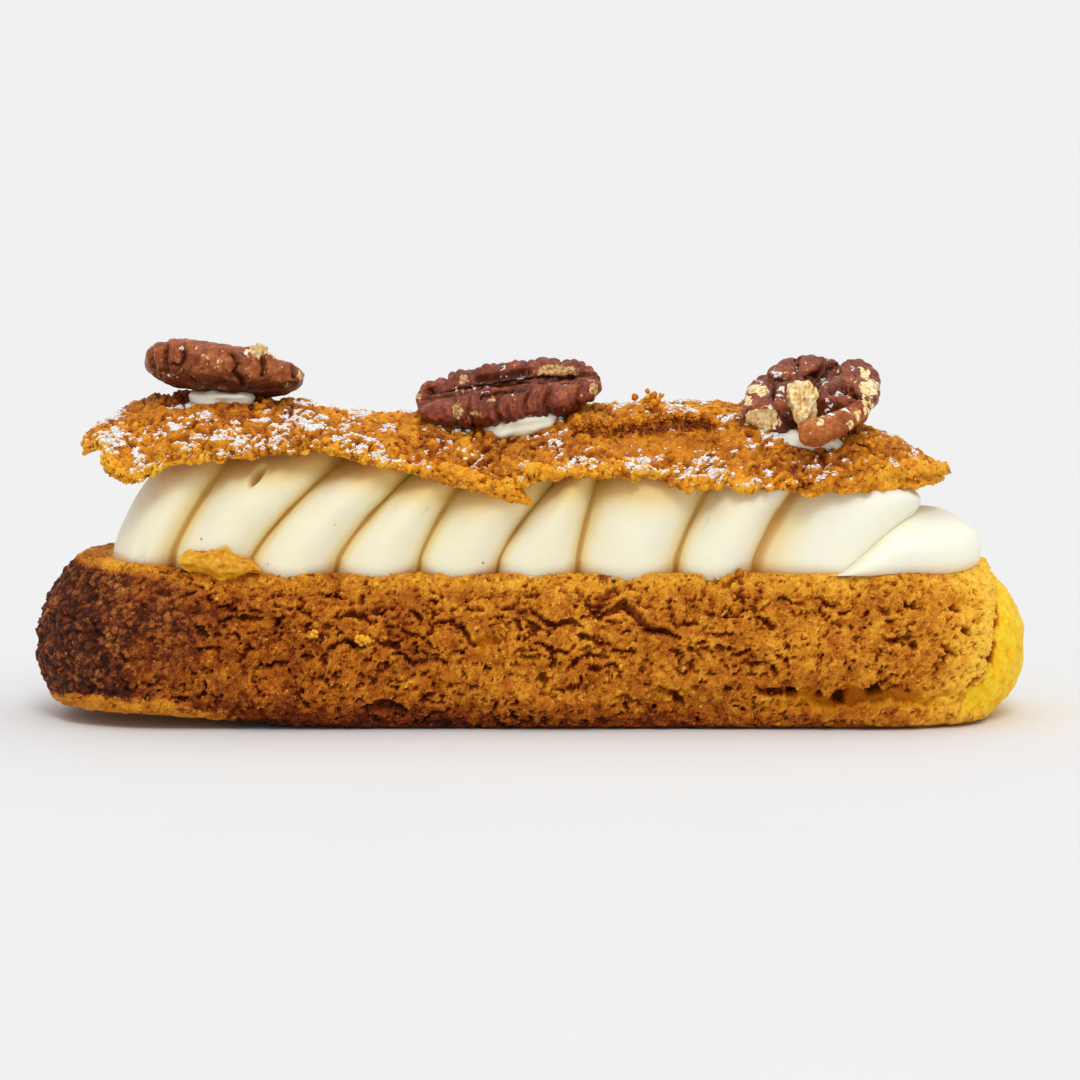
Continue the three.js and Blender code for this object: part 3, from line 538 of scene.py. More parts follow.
def crust_relief(points, fineness, cracked, pitted, lump_size, lump_height, traced=None):
    """Relief of the biscuit crust: lumps of fused grains, parted by ragged cracks and pocked by pits. A
    higher fineness packs cracks and pits closer, and how cracked and how pitted it is widens them. Traced
    gives cracks of its own for points snapped to grains. Gives the height, how far into a gap a point is,
    how near it is to a gap's brink, and how far it stands up as part of a grain and a lump."""
    moved = drifted(points, 1.0, 0.5, 5.0)
    near, _, chance, middle = cells(moved, CRUST["grain"], 1.0)
    snapped = mix(moved, middle, CRUST["snap"])
    place = np.moveaxis(fineness * snapped, -1, 0)
    uneven = CRUST["uneven"] * (chance - 0.5)
    away = np.abs(layered(CRACK_NOISE, *place))
    width = CRUST["crack"] * cracked * smooth(0.3, 0.7, fuzz(points, 4.5, 6.0)) + uneven
    crack = smooth(width + CRUST["crack_wall"], width - CRUST["crack_wall"], away)
    low = 0.5 + layered(PIT_NOISE, *place) / 1.7 + uneven + ripple(points, (0.12, 6.0, 3.0))
    brim = CRUST["pit"] * pitted
    pit = smooth(brim + CRUST["pit_wall"], brim - CRUST["pit_wall"], low)
    gap = np.maximum(crack, pit)
    brink = np.maximum(bell(away, width + 0.06, 0.04), bell(low, brim + 0.07, 0.03))
    if traced:
        split, beside = traced(snapped)
        gap = np.maximum(gap * (1 - beside), split)
        brink = np.maximum(brink, beside)
    brink = brink * (1 - gap)
    lump = 1 - cells(drifted(points, 2.0, 1.0, 9.0), lump_size * np.ones(3), 2.0)[0] ** 2
    grain = 0.7 * (chance - 0.5) + ripple(points, (0.4, 0.35, 8.0))
    height = lump_height * (lump - 0.6) + 0.26 * (0.8 - near**2) + 0.35 * grain - CRUST["depth"] * gap
    return height, gap, brink, grain + lump - 0.75


# Choux base

def cut_height(x):
    """Height of the cut that took the lid off, which climbs towards the left end."""
    return BASE["height"] + BASE["rim_rise"] * smooth(BASE["rim_rise_from"], BASE["rim_rise_to"], x)


def base_lift(x):
    """How far the underside is off the ground towards the left end."""
    return BASE["lift"] * smooth(BASE["lift_from"], BASE["lift_to"], x)


def base_section(endness, rightness, leftness, top):
    """Reach and height of the base's section, rows by columns: flat underside, squared lower corner, wall
    that draws in towards the cut, flat cut."""
    below, wall, above = BASE_ROWS
    rim = mix(BASE["rim_side"], BASE["rim_end"], endness)
    foot = mix(mix(BASE["foot"], BASE["foot_right"], rightness), BASE["foot_left"], leftness)
    under = np.arange(below)[:, None] / below
    low = np.linspace(0, 0.5, wall // 2, endpoint=False)[:, None] * math.pi
    rise = np.linspace(0, 1, wall - wall // 2)[:, None]
    inward = (np.arange(1, above + 1)[:, None] / above) ** 1.6
    reach = [
        foot * under,
        mix(foot, 1, root(np.sin(low), BASE["corner_power"])),
        1 - (1 - rim) * rise ** BASE["shoulder"],
        rim * (1 - inward),
    ]
    height = [
        0 * foot * under,
        BASE["belly"] * (1 - root(np.cos(low), BASE["corner_power"])) + 0 * foot,
        mix(BASE["belly"], top, rise),
        top + 0 * inward,
    ]
    return np.concatenate(reach), np.concatenate(height)


def base_form():
    """Grid of points of the base with its broad crags, and whether each is on its wall."""
    spine, out, side = loaf_plan(BASE, BASE_COLUMNS)
    endness = np.abs(out) / BASE["cap_left"]
    top = cut_height(spine + out * BASE["rim_end"])
    leftness = smooth(BASE["lift_from"], BASE["lift_to"], spine + out)
    reach, z = base_section(endness, np.where(out > 0, endness, 0), leftness, top)
    below, wall, _ = BASE_ROWS
    row = np.arange(sum(BASE_ROWS))[:, None]
    on_wall = (row >= below) & (row < below + wall)
    x, y = spine + reach * out, reach * side
    z = np.where(row >= below + wall, cut_height(x), z)
    ended = smooth(BASE["crust_end"] - BASE["crust_fade"], BASE["crust_end"] + BASE["crust_fade"], x)
    rim = smooth(top - BASE["rim_fade"], top, z)
    share = mix(1, BASE["bare_crag"], ended) * mix(1, BASE["rim_crag"], rim) * smooth(0, BASE["foot_fade"], z)
    reach = reach + on_wall * BASE["crag"] * share * layered(CRAGS, x, y, z) / np.hypot(out, side)
    lift = base_lift(x) * (1 - z / top)
    return np.stack([spine + reach * out, reach * side, z + lift], -1), on_wall & (z < top - 0.01)


# Where the crust is split and bares the choux under it, on the front: middle X and Z, half sizes
SPLITS = [(-6.9, 12.6, 2.2, 0.9), (18.4, 5.4, 3.2, 0.7)]
# Deep cracks on the front: middle X and Z, half sizes
DEEP_CRACKS = [(16.2, 14.2, 2.4, 0.8), (32.8, 5.6, 2.4, 0.6), (-20.6, 3.2, 2.0, 0.6), (-24.8, 16.3, 1.0, 0.5)]
# Cracks on the front, drawn as lines: half width, then stops as X and Z
CRACK_LINES = [
    (0.34, [(-26.8, 15.9), (-26.0, 16.3), (-25.0, 16.6), (-24.1, 16.2), (-22.9, 15.5), (-21.3, 15.1)]),
    (0.21, [(-19.4, 13.3), (-18.1, 14.3), (-17.0, 13.7), (-15.2, 13.3), (-14.3, 14.0), (-13.9, 15.0)]),
    (0.34, [
        (-14.4, 15.1), (-12.2, 15.5), (-10.6, 15.1), (-9.5, 14.0), (-9.1, 12.9), (-7.5, 12.2), (-4.8, 12.7),
    ]),
    (0.41, [(-21.8, 12.8), (-20.5, 12.4), (-19.1, 12.2), (-18.4, 12.8)]),
    (0.34, [(-28.4, 11.7), (-27.1, 12.5), (-25.7, 12.8), (-24.6, 12.2), (-23.2, 11.6)]),
    (0.21, [
        (-19.6, 11.1), (-18.1, 11.0), (-17.4, 10.0), (-16.7, 9.2), (-15.1, 10.0), (-13.6, 10.2), (-11.7, 9.5),
    ]),
    (0.34, [(-14.4, 18.1), (-13.9, 18.2), (-13.2, 17.9)]), (0.28, [(-9.8, 16.9), (-8.5, 17.1), (-7.1, 16.9)]),
    (0.28, [(-16.9, 16.6), (-16.4, 16.3), (-15.7, 15.9)]), (0.14, [(-10.6, 8.9), (-9.9, 8.4), (-9.1, 7.7)]),
    (0.14, [(-14.3, 7.4), (-14.0, 6.6), (-14.0, 5.6)]), (0.28, [(-32.3, 10.6), (-31.4, 10.7), (-30.6, 10.9)]),
    (0.21, [(-29.9, 19.0), (-27.9, 18.6), (-25.9, 18.6)]),
    (0.48, [(-23.8, 3.3), (-22.4, 3.8), (-20.6, 4.1), (-18.9, 3.5), (-17.7, 2.6)]),
    (0.28, [(-4.3, 17.1), (-3.2, 17.4), (-2.2, 17.8), (-1.9, 18.7)]),
    (0.41, [(-0.7, 17.5), (0.3, 16.4), (1.0, 15.6), (2.5, 15.1), (3.9, 15.1), (5.2, 15.4), (6.5, 14.7)]),
    (0.48, [(-2.6, 15.6), (-2.3, 15.0), (-1.9, 14.2)]),
    (0.34, [(5.8, 13.5), (6.7, 13.5), (7.7, 13.1), (8.9, 12.2), (10.3, 12.5)]),
    (0.34, [(-0.1, 12.7), (1.7, 12.2), (2.6, 11.3), (4.3, 11.3), (5.5, 12.1)]),
    (0.28, [(-1.8, 10.9), (-0.3, 10.6), (1.1, 11.1)]),
    (0.34, [(4.3, 8.8), (5.1, 9.5), (5.9, 10.2), (7.0, 10.7), (8.4, 10.9), (10.0, 10.6)]),
    (0.28, [(7.3, 9.1), (8.0, 9.2), (8.7, 9.1)]), (0.28, [(9.5, 9.3), (11.0, 9.5), (11.4, 8.4), (12.1, 7.3)]),
    (0.55, [
        (8.9, 15.6), (10.1, 16.7), (11.3, 17.1), (12.3, 17.7), (13.4, 16.6), (14.6, 15.4), (16.1, 14.4),
        (17.7, 14.0), (19.7, 13.2),
    ]),
    (0.21, [(12.0, 14.0), (12.7, 14.3), (13.3, 14.2)]), (0.21, [(20.2, 15.2), (21.9, 15.4), (23.2, 14.8)]),
    (0.28, [(23.6, 14.0), (25.6, 13.6), (27.4, 14.0)]), (0.34, [(22.1, 12.4), (23.0, 12.7), (23.8, 12.8)]),
    (0.28, [(24.6, 11.8), (25.3, 12.0), (26.0, 11.8)]), (0.14, [(12.5, 4.6), (12.7, 3.5), (12.7, 2.3)]),
    (0.48, [(15.3, 5.5), (17.2, 6.0), (18.8, 5.6), (19.7, 4.2), (20.5, 3.8)]),
    (0.21, [(11.3, 4.9), (12.8, 4.8), (14.7, 4.2)]), (0.14, [(25.3, 10.3), (26.2, 9.2), (27.8, 7.8)]),
    (0.28, [(27.1, 10.9), (28.7, 11.1), (29.8, 11.8)]), (0.34, [(30.7, 15.9), (32.0, 15.4), (33.0, 14.4)]),
    (0.34, [(28.4, 10.0), (30.2, 9.3), (32.3, 9.8)]), (0.28, [(33.1, 11.0), (34.2, 10.2), (36.1, 10.3)]),
    (0.55, [(30.4, 6.0), (32.3, 5.2), (34.2, 5.5), (36.4, 5.1)]),
    (0.14, [(34.0, 18.9), (35.8, 17.7), (37.6, 17.8)]), (0.34, [(40.7, 17.5), (41.3, 17.4), (41.8, 17.3)]),
    (0.28, [(45.0, 16.0), (45.5, 16.4), (46.1, 16.9)]), (0.28, [(47.3, 17.1), (47.9, 16.9), (48.6, 16.4)]),
    (0.28, [(48.0, 15.6), (48.9, 15.4), (49.9, 15.6)]), (0.28, [(50.7, 14.8), (51.4, 15.0), (52.3, 15.2)]),
    (0.28, [(48.0, 13.2), (49.6, 12.8), (50.8, 12.2)]), (0.41, [(51.5, 12.4), (52.1, 12.2), (52.8, 12.1)]),
    (0.28, [(56.0, 12.6), (56.8, 11.3), (58.3, 10.5)]), (0.41, [(57.2, 17.1), (57.9, 17.0), (58.6, 16.7)]),
    (0.34, [(59.0, 14.2), (59.6, 13.9), (60.1, 13.9)]), (0.21, [(34.2, 12.4), (34.8, 11.8), (35.2, 11.4)]),
    (0.28, [(39.0, 18.6), (40.5, 17.5), (42.0, 17.8)]),
    (0.28, [(-43.3, 15.5), (-41.1, 15.8), (-39.2, 15.5), (-37.2, 15.8)]),
    (0.28, [(-46.3, 11.6), (-44.6, 11.8), (-43.0, 11.8)]),
    (0.48, [(-46.7, 14.8), (-46.0, 14.3), (-45.2, 13.5)]),
    (0.28, [(-38.3, 9.2), (-36.4, 9.3), (-34.1, 10.0)]),
    (0.28, [(-53.5, 12.9), (-52.5, 13.3), (-51.4, 12.9)]),
    (0.42, [(65.0, 17.2), (64.6, 15.3), (64.3, 13.6)]),
    (0.45, [(64.4, 11.7), (63.9, 10.2), (62.9, 8.7)]), (0.36, [(62.4, 8.0), (61.0, 7.0), (59.8, 6.3)]),
]
# The crust's right edge, where it stops: Z and X
CRUST_EDGE = (
    [0, 5.0, 6.4, 7.8, 9.2, 11.9, 14.7, 17.5, 22],
    [57.5, 58.7, 60.6, 62.0, 62.8, 63.2, 63.6, 63.8, 64.0],
)
# Holes in the bare choux under the crust's lower right edge: middle X and Z, half sizes
BARE_HOLES = [
    (46.6, 5.0, 1.6, 1.12), (42.2, 4.1, 1.3, 0.91), (35.6, 5.4, 1.2, 0.84), (51.8, 5.2, 0.5, 0.35),
    (39.2, 4.6, 0.8, 0.56),
]
# How the base's crumbs vary: radius, tone, the largest radius and flatness
BASE_CRUMBS = dict(radius=0.32, tone=0.08, largest=0.45, flatness=0.75)


def front_spots(points, spots):
    """1 in the middle of each oval spot on the front, 0 outside it."""
    x, y, z = np.moveaxis(points, -1, 0)
    total = np.zeros_like(x)
    for at_x, at_z, half_x, half_z in spots:
        away = np.hypot((x - at_x) / half_x, (z - at_z) / half_z)
        total = np.maximum(total, smooth(1.2, 0.3, away) * (y < 0))
    return total


def crack_lines(points):
    """How deep in a drawn crack each point lies, 0 to 1, and how near it is to the crack's brink. Each
    crack narrows towards its two ends."""
    x, y, z = np.moveaxis(points, -1, 0)
    deep = np.zeros_like(x)
    brink = np.zeros_like(x)
    for half, stops in CRACK_LINES:
        last = len(stops) - 1
        for step, ((x0, z0), (x1, z1)) in enumerate(zip(stops[:-1], stops[1:])):
            run, rise = x1 - x0, z1 - z0
            t = clamp01(((x - x0) * run + (z - z0) * rise) / (run**2 + rise**2))
            away = np.hypot(x - x0 - t * run, z - z0 - t * rise)
            share = (step + t) / last
            width = 1.1 * half * np.sqrt(np.maximum(0.15, 4 * share * (1 - share)))
            deep = np.maximum(deep, smooth(width + 0.12, width - 0.12, away))
            brink = np.maximum(brink, bell(away, width + 0.3, 0.2))
    return deep * (y < 0), brink * (y < 0)


def past_crust(points):
    """How far right of the crust's edge each point lies."""
    return points[..., 0] - np.interp(points[..., 2], *CRUST_EDGE)


def bare_choux(points):
    """1 where the base shows smooth choux instead of crust: past the crust's ragged right edge, in a band
    that runs left from there under the crust, and in the splits. Gives that, how much the choux lies in the
    shade of the crust, and how far it stands out from the crust's level."""
    x, _, z = np.moveaxis(points, -1, 0)
    ragged = ripple(points, (3.6, 3.0, 5.0), (2.6, 1.1, 6.0), (1.6, 0.5, 4.0))
    wander = ripple(points, (2.6, 6.0, 45.0))
    past = past_crust(points) + 0.8 * ragged
    right = smooth(-0.4, 0.4, past) * np.maximum(smooth(1.6, 2.6, z + 0.5 * ragged), smooth(62.5, 64.5, x))
    band = smooth(2.9, 3.4, z + 0.4 * ragged - 0.4 * wander) * smooth(6.0, 5.5, z + 0.7 * ragged + wander)
    band = band * smooth(30, 38, x + 2 * ragged) * smooth(60, 52, x + 2 * ragged)
    split = np.maximum(band, 0.8 * front_spots(drifted(points, 0.9, 1.6, 37.0), SPLITS))
    shade = np.maximum(split * mix(0.6, 0.35, smooth(46, 58, x)), 0.5 * bell(past, 0.4, 0.5) * right)
    return np.maximum(right, split), shade, -0.7 - 0.8 * split


def left_band(points):
    """1 in the band of lighter choux under the lifted left end, which has no crust."""
    x, _, z = np.moveaxis(points, -1, 0)
    ragged = fuzz(points, 2.4, 5.0) + 0.8 * fuzz(points, 0.8, 6.0) - 0.9
    deep = mix(0.9, 2.1, smooth(-40, -52, x)) - 0.8 * smooth(-60, -68, x)
    return smooth(0.35, -0.35, z - base_lift(x) - deep + 0.9 * ragged) * smooth(-38, -48, x + 4 * ragged)


def burnt_share(points):
    """How burnt the crust is, 0 to 1: wholly at the left end, in islands further right."""
    x = points[..., 0] + ripple(points, (15, 5.0, 7.0), (5, 1.6, 53.0))
    return smooth(-42, -60, x)


def base_toast_and_shading(points, crack, brink, grain):
    """How dark the crust looks, 0 to 1: baked darker to the left, darker along the foot as painted shade,
    lighter at the cut's rim, partly for its paler crumb and partly as painted light on the wall's top. Gaps
    are painted darker as shade and their brinks lighter as painted light; grains that stand up are lighter,
    partly by random tone and partly as painted light."""
    x, _, z = np.moveaxis(points, -1, 0)
    burnt = 0.14 * smooth(10, -45, x) + 0.12 * burnt_share(points)
    right = -0.03 * smooth(20, 50, x) - 0.36 * smooth(-8.0, -0.5, past_crust(points))
    deep = mix(1.2, 3.2, smooth(-60, -46, x))
    # Lighter at the rim: partly the cut's paler crumb, partly painted light on the wall's top.
    rim = mix(-0.3, -0.16, smooth(-60, -46, x)) * smooth(cut_height(x) - deep, cut_height(x) - 0.2 * deep, z)
    # Darker along the foot: painted shade.
    foot = mix(0.3, 0.1, smooth(24, 44, x)) * smooth(5.5, 0.5, z)
    patches = ripple(points, (0.16, 5.0, 8.0), (0.1, 1.3, 9.0))
    seam = -0.22 * bell(x + 2 * fuzz(points, 2.0, 38.0), -57.5, 1.6) * smooth(8, 14, z)
    # Painted shade in gaps, painted light on brinks and on raised grains.
    return 0.47 + seam + burnt + right + rim + foot + patches + 0.32 * crack - 0.08 * brink - 0.22 * grain


def base_relief(form):
    """The crust's relief on the base, less cracked at the rim, to the left and far to the right."""
    x, _, z = np.moveaxis(form, -1, 0)
    near_rim = smooth(-3.5, -0.5, z - cut_height(x))
    leftward = smooth(0, -14, x)
    cracked = (1 - 0.8 * smooth(16, 44, x)) * mix(1.0, 0.6, leftward) * (1 - 0.7 * near_rim)
    pitted = (1 - 0.3 * near_rim) * mix(1.0, 0.88, leftward)
    return crust_relief(form, 1.1, cracked, pitted, 2.0, 0.6, crack_lines)


def burnt_relief(form, relief, crack):
    """The relief and its gaps turned pebbly where the crust is burnt, which it isn't at the cut. Gives
    them, how burnt each point is and how much darker its place on its pebble makes it: painted shade
    towards each pebble's edge and in the gaps between pebbles, with random tone from pebble to pebble."""
    x, _, z = np.moveaxis(form, -1, 0)
    burnt = burnt_share(form) * (1 - smooth(-1.6, -0.4, z - cut_height(x)))
    near, second, chance, _ = cells(drifted(form, 1.5, 0.7, 44.0), 1.2 * np.ones(3), 6.0)
    pebbly = 0.5 * relief + 1.3 * (0.2 - near**2) + 0.4 * (chance - 0.5)
    between = smooth(0.2, 0.02, second - near)
    # The gaps between pebbles count as cracks, which are painted darker as shade.
    crack = np.maximum(crack * (1 - 0.5 * burnt), 0.8 * between * burnt)
    # Painted shade towards each pebble's edge, with random tone.
    darker = 0.3 * burnt * (0.7 * (chance - 0.5) + near**2 - 0.2)
    return mix(relief, pebbly, 0.8 * burnt), crack, burnt, darker


def crust_lip(form):
    """How far the crust stands up along its right edge and under the bare band."""
    x, _, z = np.moveaxis(form, -1, 0)
    along_edge = bell(past_crust(form), -1.0, 0.9) * smooth(4, 8, z)
    under_band = bell(z, 2.0, 1.1) * smooth(28, 40, x) * smooth(63, 58, x)
    return 0.5 * along_edge + 0.5 * under_band


def make_base(crust):
    """The base: its form pushed out along its normals by the crust's relief, with crumbs baked onto it."""
    form, on_wall = base_form()
    normals = grid_normals(form)
    x, _, z = np.moveaxis(form, -1, 0)
    bare, shaded, level = bare_choux(form)
    relief, crack, brink, grain = base_relief(form)
    relief, crack, burnt, darker = burnt_relief(form, relief, crack)
    slit = crack_lines(drifted(form, 0.8, 0.6, 56.0))[0] * smooth(54, 58, x)
    deep = np.maximum(front_spots(form, DEEP_CRACKS), 0.9 * slit)
    holes = smooth(0.3, 0.6, front_spots(drifted(form, 0.9, 0.8, 60.0), BARE_HOLES))
    bare = np.maximum(bare, holes)
    plain = level + ripple(form, (0.4, 2.6, 10.0), (0.24, 0.8, 61.0))
    band = left_band(form)
    relief = mix(relief, 0.35 * relief + 0.3, band)
    height = mix(relief - 1.1 * deep + crust_lip(form), plain - 0.8 * slit, bare) - 2.0 * holes
    shape = pushed(form, height * smooth(0.0, 1.2, z) * on_wall)
    inside = np.arange(len(form))[:, None] - BASE_ROWS[0] - BASE_ROWS[1]
    crumbly = np.where(inside >= 0, np.exp(-np.maximum(inside, 0) / 4.0), 0)
    shape[..., 2] += crumbly * (0.5 * fuzz(form, 0.9, 11.0) + 0.35 * relief) * (1 - bare)
    crack = np.maximum(crack * (1 - 0.8 * band) * (1 - bare), deep)
    toast_and_shading = base_toast_and_shading(form, crack, brink, grain) + darker
    toast_and_shading = mix(toast_and_shading, 0.34 + ripple(form, (0.3, 1.5, 54.0)) - 0.1 * grain, 0.85 * band)
    burnt = burnt * (1 - band)
    # Painted shade for the bare choux: in cracks and holes, and where the crust shades it.
    hollow = np.maximum(np.maximum(crack, holes), shaded)
    values = dict(toast_and_shading=toast_and_shading, crack=hollow, bare=bare, burnt=burnt)
    grid_piece("choux_base_crust", shape, values, crust, "choux", ["choux_base"])
    area = grid_areas(form)
    open_crust = area * on_wall * (1 - bare) * (1 - crack) ** 3 * smooth(0.6, 1.6, z)
    torn = area * on_wall * smooth(5, 8, z) * bell(past_crust(form), -0.8, 1.3)
    at_rim = area * (np.abs(inside + 1) < 5) * (1 - bare)
    kinds = [
        ("golden", 10000, -0.16, 0.16, open_crust), ("brown", 10000, -0.02, 0.18, open_crust),
        ("dark", 6000, 0.06, 0.19, open_crust), ("rim", 7000, -0.02, 0.2, at_rim),
        ("torn", 1100, -0.14, 0.3, torn),
    ]
    scatter_crumbs("base_crumbs", kinds, BASE_CRUMBS, shape, normals, toast_and_shading, dict(burnt=burnt), crust)


# Choux lid

def lid_height(x, y):
    """Smooth height of the lid's upper side: a ridge with humps that falls away at both ends and to both
    sides."""
    left = np.maximum(0, (LEFT_FALL["start"] - x) / LEFT_FALL["reach"])
    right = np.maximum(0, (x - RIGHT_FALL["start"]) / RIGHT_FALL["reach"])
    fall = LEFT_FALL["depth"] * left**2 + RIGHT_FALL["depth"] * right**2
    ridge = LID["crest"] + bells(x, RIDGE_HUMPS) - fall
    drop = LID["drop"] + np.where(y < 0, bells(x, FRONT_HANG), bells(x, BACK_HANG))
    to_left = smooth(LEFT_FALL["start"], LID["left"], x)
    to_right = smooth(RIGHT_FALL["start"], LID["right"], x)
    endness = np.maximum(to_left, to_right)
    return ridge - drop * (1 - LID["end_flatter"] * endness) * (y / LID["half_width"]) ** 2


def lid_thickness(share, x):
    """Thickness of the lid at a share of the way to its edge: thin there, but hardly so at the right
    end."""
    right = smooth(32, 50, x)
    middle = mix(LID["thick_middle"], LID["thick_right"], right)
    edge = mix(LID["thick_edge"], LID["thick_right"], right) * (1 - 0.3 * smooth(51, 58, x))
    return mix(middle, edge, share**3)


def lid_underside(x, y):
    """Height of the lid's lower side, away from its edge."""
    return lid_height(x, y) - lid_thickness(0, x)


def lid_form():
    """Grid of points of the lid: underside from the spine to the edge, over the broken edge, top back to
    the spine. Gives the points, each one's share of the way to the edge and its level from underside 0 to
    top 1."""
    spine, out, side = loaf_plan(LID, LID_COLUMNS)
    under, over, upper = LID_ROWS
    share = [np.arange(under) / under, np.ones(over), 1 - np.arange(1, upper + 1) / upper]
    level = [np.zeros(under), np.arange(over) / (over - 1), np.ones(upper)]
    share, level = (np.concatenate(parts)[:, None] for parts in (share, level))
    at_x, at_y = spine + out, side
    flap = LID_FLAP["reach"] * bell(at_x, LID_FLAP["at"], LID_FLAP["width"])
    flap = flap * smooth(LID_FLAP["start"], LID_FLAP["end"], at_y)
    edge = LID["edge"] + LID["ragged"] * layered(BREAKS, at_x, at_y, 0.0) + flap
    bite = bell(np.hypot(at_x - LID_BITE["x"], at_y - LID_BITE["y"]), 0, LID_BITE["half"])
    edge = edge + 0.06 * layered(TEETH, at_x, at_y, 3.0 * level) - LID_BITE["depth"] * bite
    bulge = 0.015 * np.sin(math.pi * level) - 0.05 * bell(level, 0.45, 0.16) * smooth(49, 53, at_x)
    reach = share * mix(1, edge + bulge, share**2)
    x, y = spine + reach * out, reach * side
    z = lid_height(x, y)
    crags = LID["crag"] * layered(CRAGS, x, y, z) * np.where(share < 1, 1, LID["edge_crag"])
    z = z - lid_thickness(share, x) * (1 - level) + crags * level
    return np.stack([x, y, z], -1), share + 0 * x, level + 0 * x


# The fold in the lid right of the middle nut, where the crust has split along a ridge and bares spongy
# choux
FOLD = dict(
    x=15.5, y=-12.3, half_x=10.5, half_y=2.7, brink=-9.6, slant=0.1, ridge=1.3, ridge_width=1.5, floor=-0.7,
)
# Open holes in the crumb of the lid's broken front edge: middle X and Z, half sizes
LID_HOLES = [
    (-16.1, 37.4, 0.9, 0.8), (-14.3, 37.6, 0.8, 0.9), (-12.7, 36.7, 1.0, 0.7), (-11.2, 37.6, 0.8, 0.7),
    (-9.2, 36.4, 1.1, 0.6), (-6.5, 37.0, 0.7, 0.5), (-31.5, 39.8, 1.4, 0.6), (-35.0, 39.4, 0.9, 0.5),
]
# Where icing sugar lies: X and how much of the crust it covers
SUGAR_COVER = (
    [-66, -58, -45, -32, -24, -12, -2, 8, 15, 24, 32, 45, 54, 60],
    [0.24, 0.53, 0.58, 0.56, 0.46, 0.18, 0.16, 0.24, 0.3, 0.3, 0.22, 0.17, 0.15, 0.12],
)
# How the lid's crumbs vary: radius, tone, the largest radius and flatness
LID_CRUMBS = dict(radius=0.34, tone=0.1, largest=0.6, flatness=0.8)
# Kinds of sugar: name, count and radius
SUGAR_KINDS = [("fine", 8000, 0.11), ("clumped", 5000, 0.17)]
LARGEST_SUGAR = 0.5


def lid_relief(form):
    """Relief of the lid's crust: the crust's own, on clusters of crumb parted by gaps here and there."""
    relief, gap, brink, grain = crust_relief(form, 1.5, 0.8, 1.0, 1.3, 0.7)
    near, second, chance, _ = cells(drifted(form, 3.0, 1.8, 43.0), 3.0 * np.ones(3), 4.0)
    parted = smooth(0.2, 0.05, second - near) * smooth(0.4, 0.7, fuzz(form, 5.0, 46.0))
    relief = relief + 0.6 * (0.6 - near**2) + 0.5 * (chance - 0.5) - 0.5 * parted
    return relief, np.maximum(gap, 0.6 * parted), brink, grain


def lid_fold(form):
    """The fold: a ridge that breaks off along a wavering brink, and a spongy floor in front of it. Gives
    how much a point is floor, how much it is the broken wall, the ridge's height and how near the point is
    to the ridge's lip."""
    x, y, _ = np.moveaxis(form, -1, 0)
    away = np.hypot((x - FOLD["x"]) / FOLD["half_x"], (y - FOLD["y"]) / FOLD["half_y"])
    away = away + ripple(form, (0.5, 2.4, 33.0), (0.3, 0.8, 31.0))
    along = smooth(1.1, 0.8, np.abs(x - FOLD["x"]) / FOLD["half_x"])
    behind = y - FOLD["brink"] - FOLD["slant"] * (x - FOLD["x"])
    behind = behind - ripple(form, (1.8, 4.0, 39.0), (1.0, 1.0, 47.0))
    front = smooth(0.12, -0.12, behind)
    ridge = along * (1 - front) * np.exp(-np.maximum(0, behind) / FOLD["ridge_width"])
    floor = np.maximum(smooth(1.0, 0.8, away), along * bell(behind, -0.8, 0.6)) * front
    return floor, along * bell(behind, -0.3, 0.4), ridge, along * bell(behind, 0.15, 0.25)


def lid_toast_and_shading(form, share, crack, brink, grain):
    """How dark the lid's crust looks, 0 to 1: darker where the nuts lie, golden towards its broken edge.
    Gaps are painted darker as shade and their brinks lighter as painted light; grains that stand up are
    lighter, partly by random tone and partly as painted light."""
    x, y, _ = np.moveaxis(form, -1, 0)
    # Darker where the nuts lie.
    by_the_nuts = sum(bell(x, nut["at"][0], 9.0) * bell(y, nut["at"][1] - 4.0, 7.0) for nut in NUTS)
    golden = smooth(0.88, 1.0, share) * fuzz(form, 2.0, 34.0)
    pale = mix(0.26, 0.42, smooth(-40, -55, x)) * golden
    patches = ripple(form, (0.2, 4.0, 12.0), (0.16, 1.2, 13.0))
    # Painted shade in gaps, painted light on brinks and on raised grains.
    return 0.39 + 0.2 * by_the_nuts - pale + patches + 0.3 * crack - 0.08 * brink - 0.2 * grain


def lid_dusting(form, relief, crack, ridge):
    """How thickly icing sugar lies, 0 to 1: in flecks drawn out across the lid, on what stands up, and more
    of them where more of the crust is covered."""
    x, y, _ = np.moveaxis(form, -1, 0)
    cover = np.interp(x, *SUGAR_COVER) + 0.26 * bell(x, 19, 12) * smooth(-12.5, -14.5, y) + 0.25 * ridge
    cover = cover * mix(1, smooth(-9.5, -12.0, y), smooth(-30, -40, x) * smooth(-59, -54, x))
    strewn = form * np.array([1.0, 0.5, 1.0])
    flecks = 0.6 * fuzz(strewn, 2.6, 14.0) + 0.34 * fuzz(strewn, 1.0, 15.0) + 0.26 * fuzz(strewn, 0.45, 35.0)
    dust = flecks + 0.2 * relief - 0.3 * crack - 0.09
    return smooth(-0.06, 0.1, dust - (1 - cover) * 0.62 - 0.2)


def make_sugar(shape, normals, sugared, sugar):
    """Grains of icing sugar, which lie where the lid is dusted."""
    for kind, count, radius in SUGAR_KINDS:
        row, column, places = sampled(shape, sugared, count)
        radii = np.minimum(radius * RANDOM.lognormal(0, 0.35, count), LARGEST_SUGAR)
        places = places + 0.15 * normals[row, column]
        pebbles(f"lid_sugar_{kind}", places, upwards(count), radii, 0.6, {}, sugar, "choux")


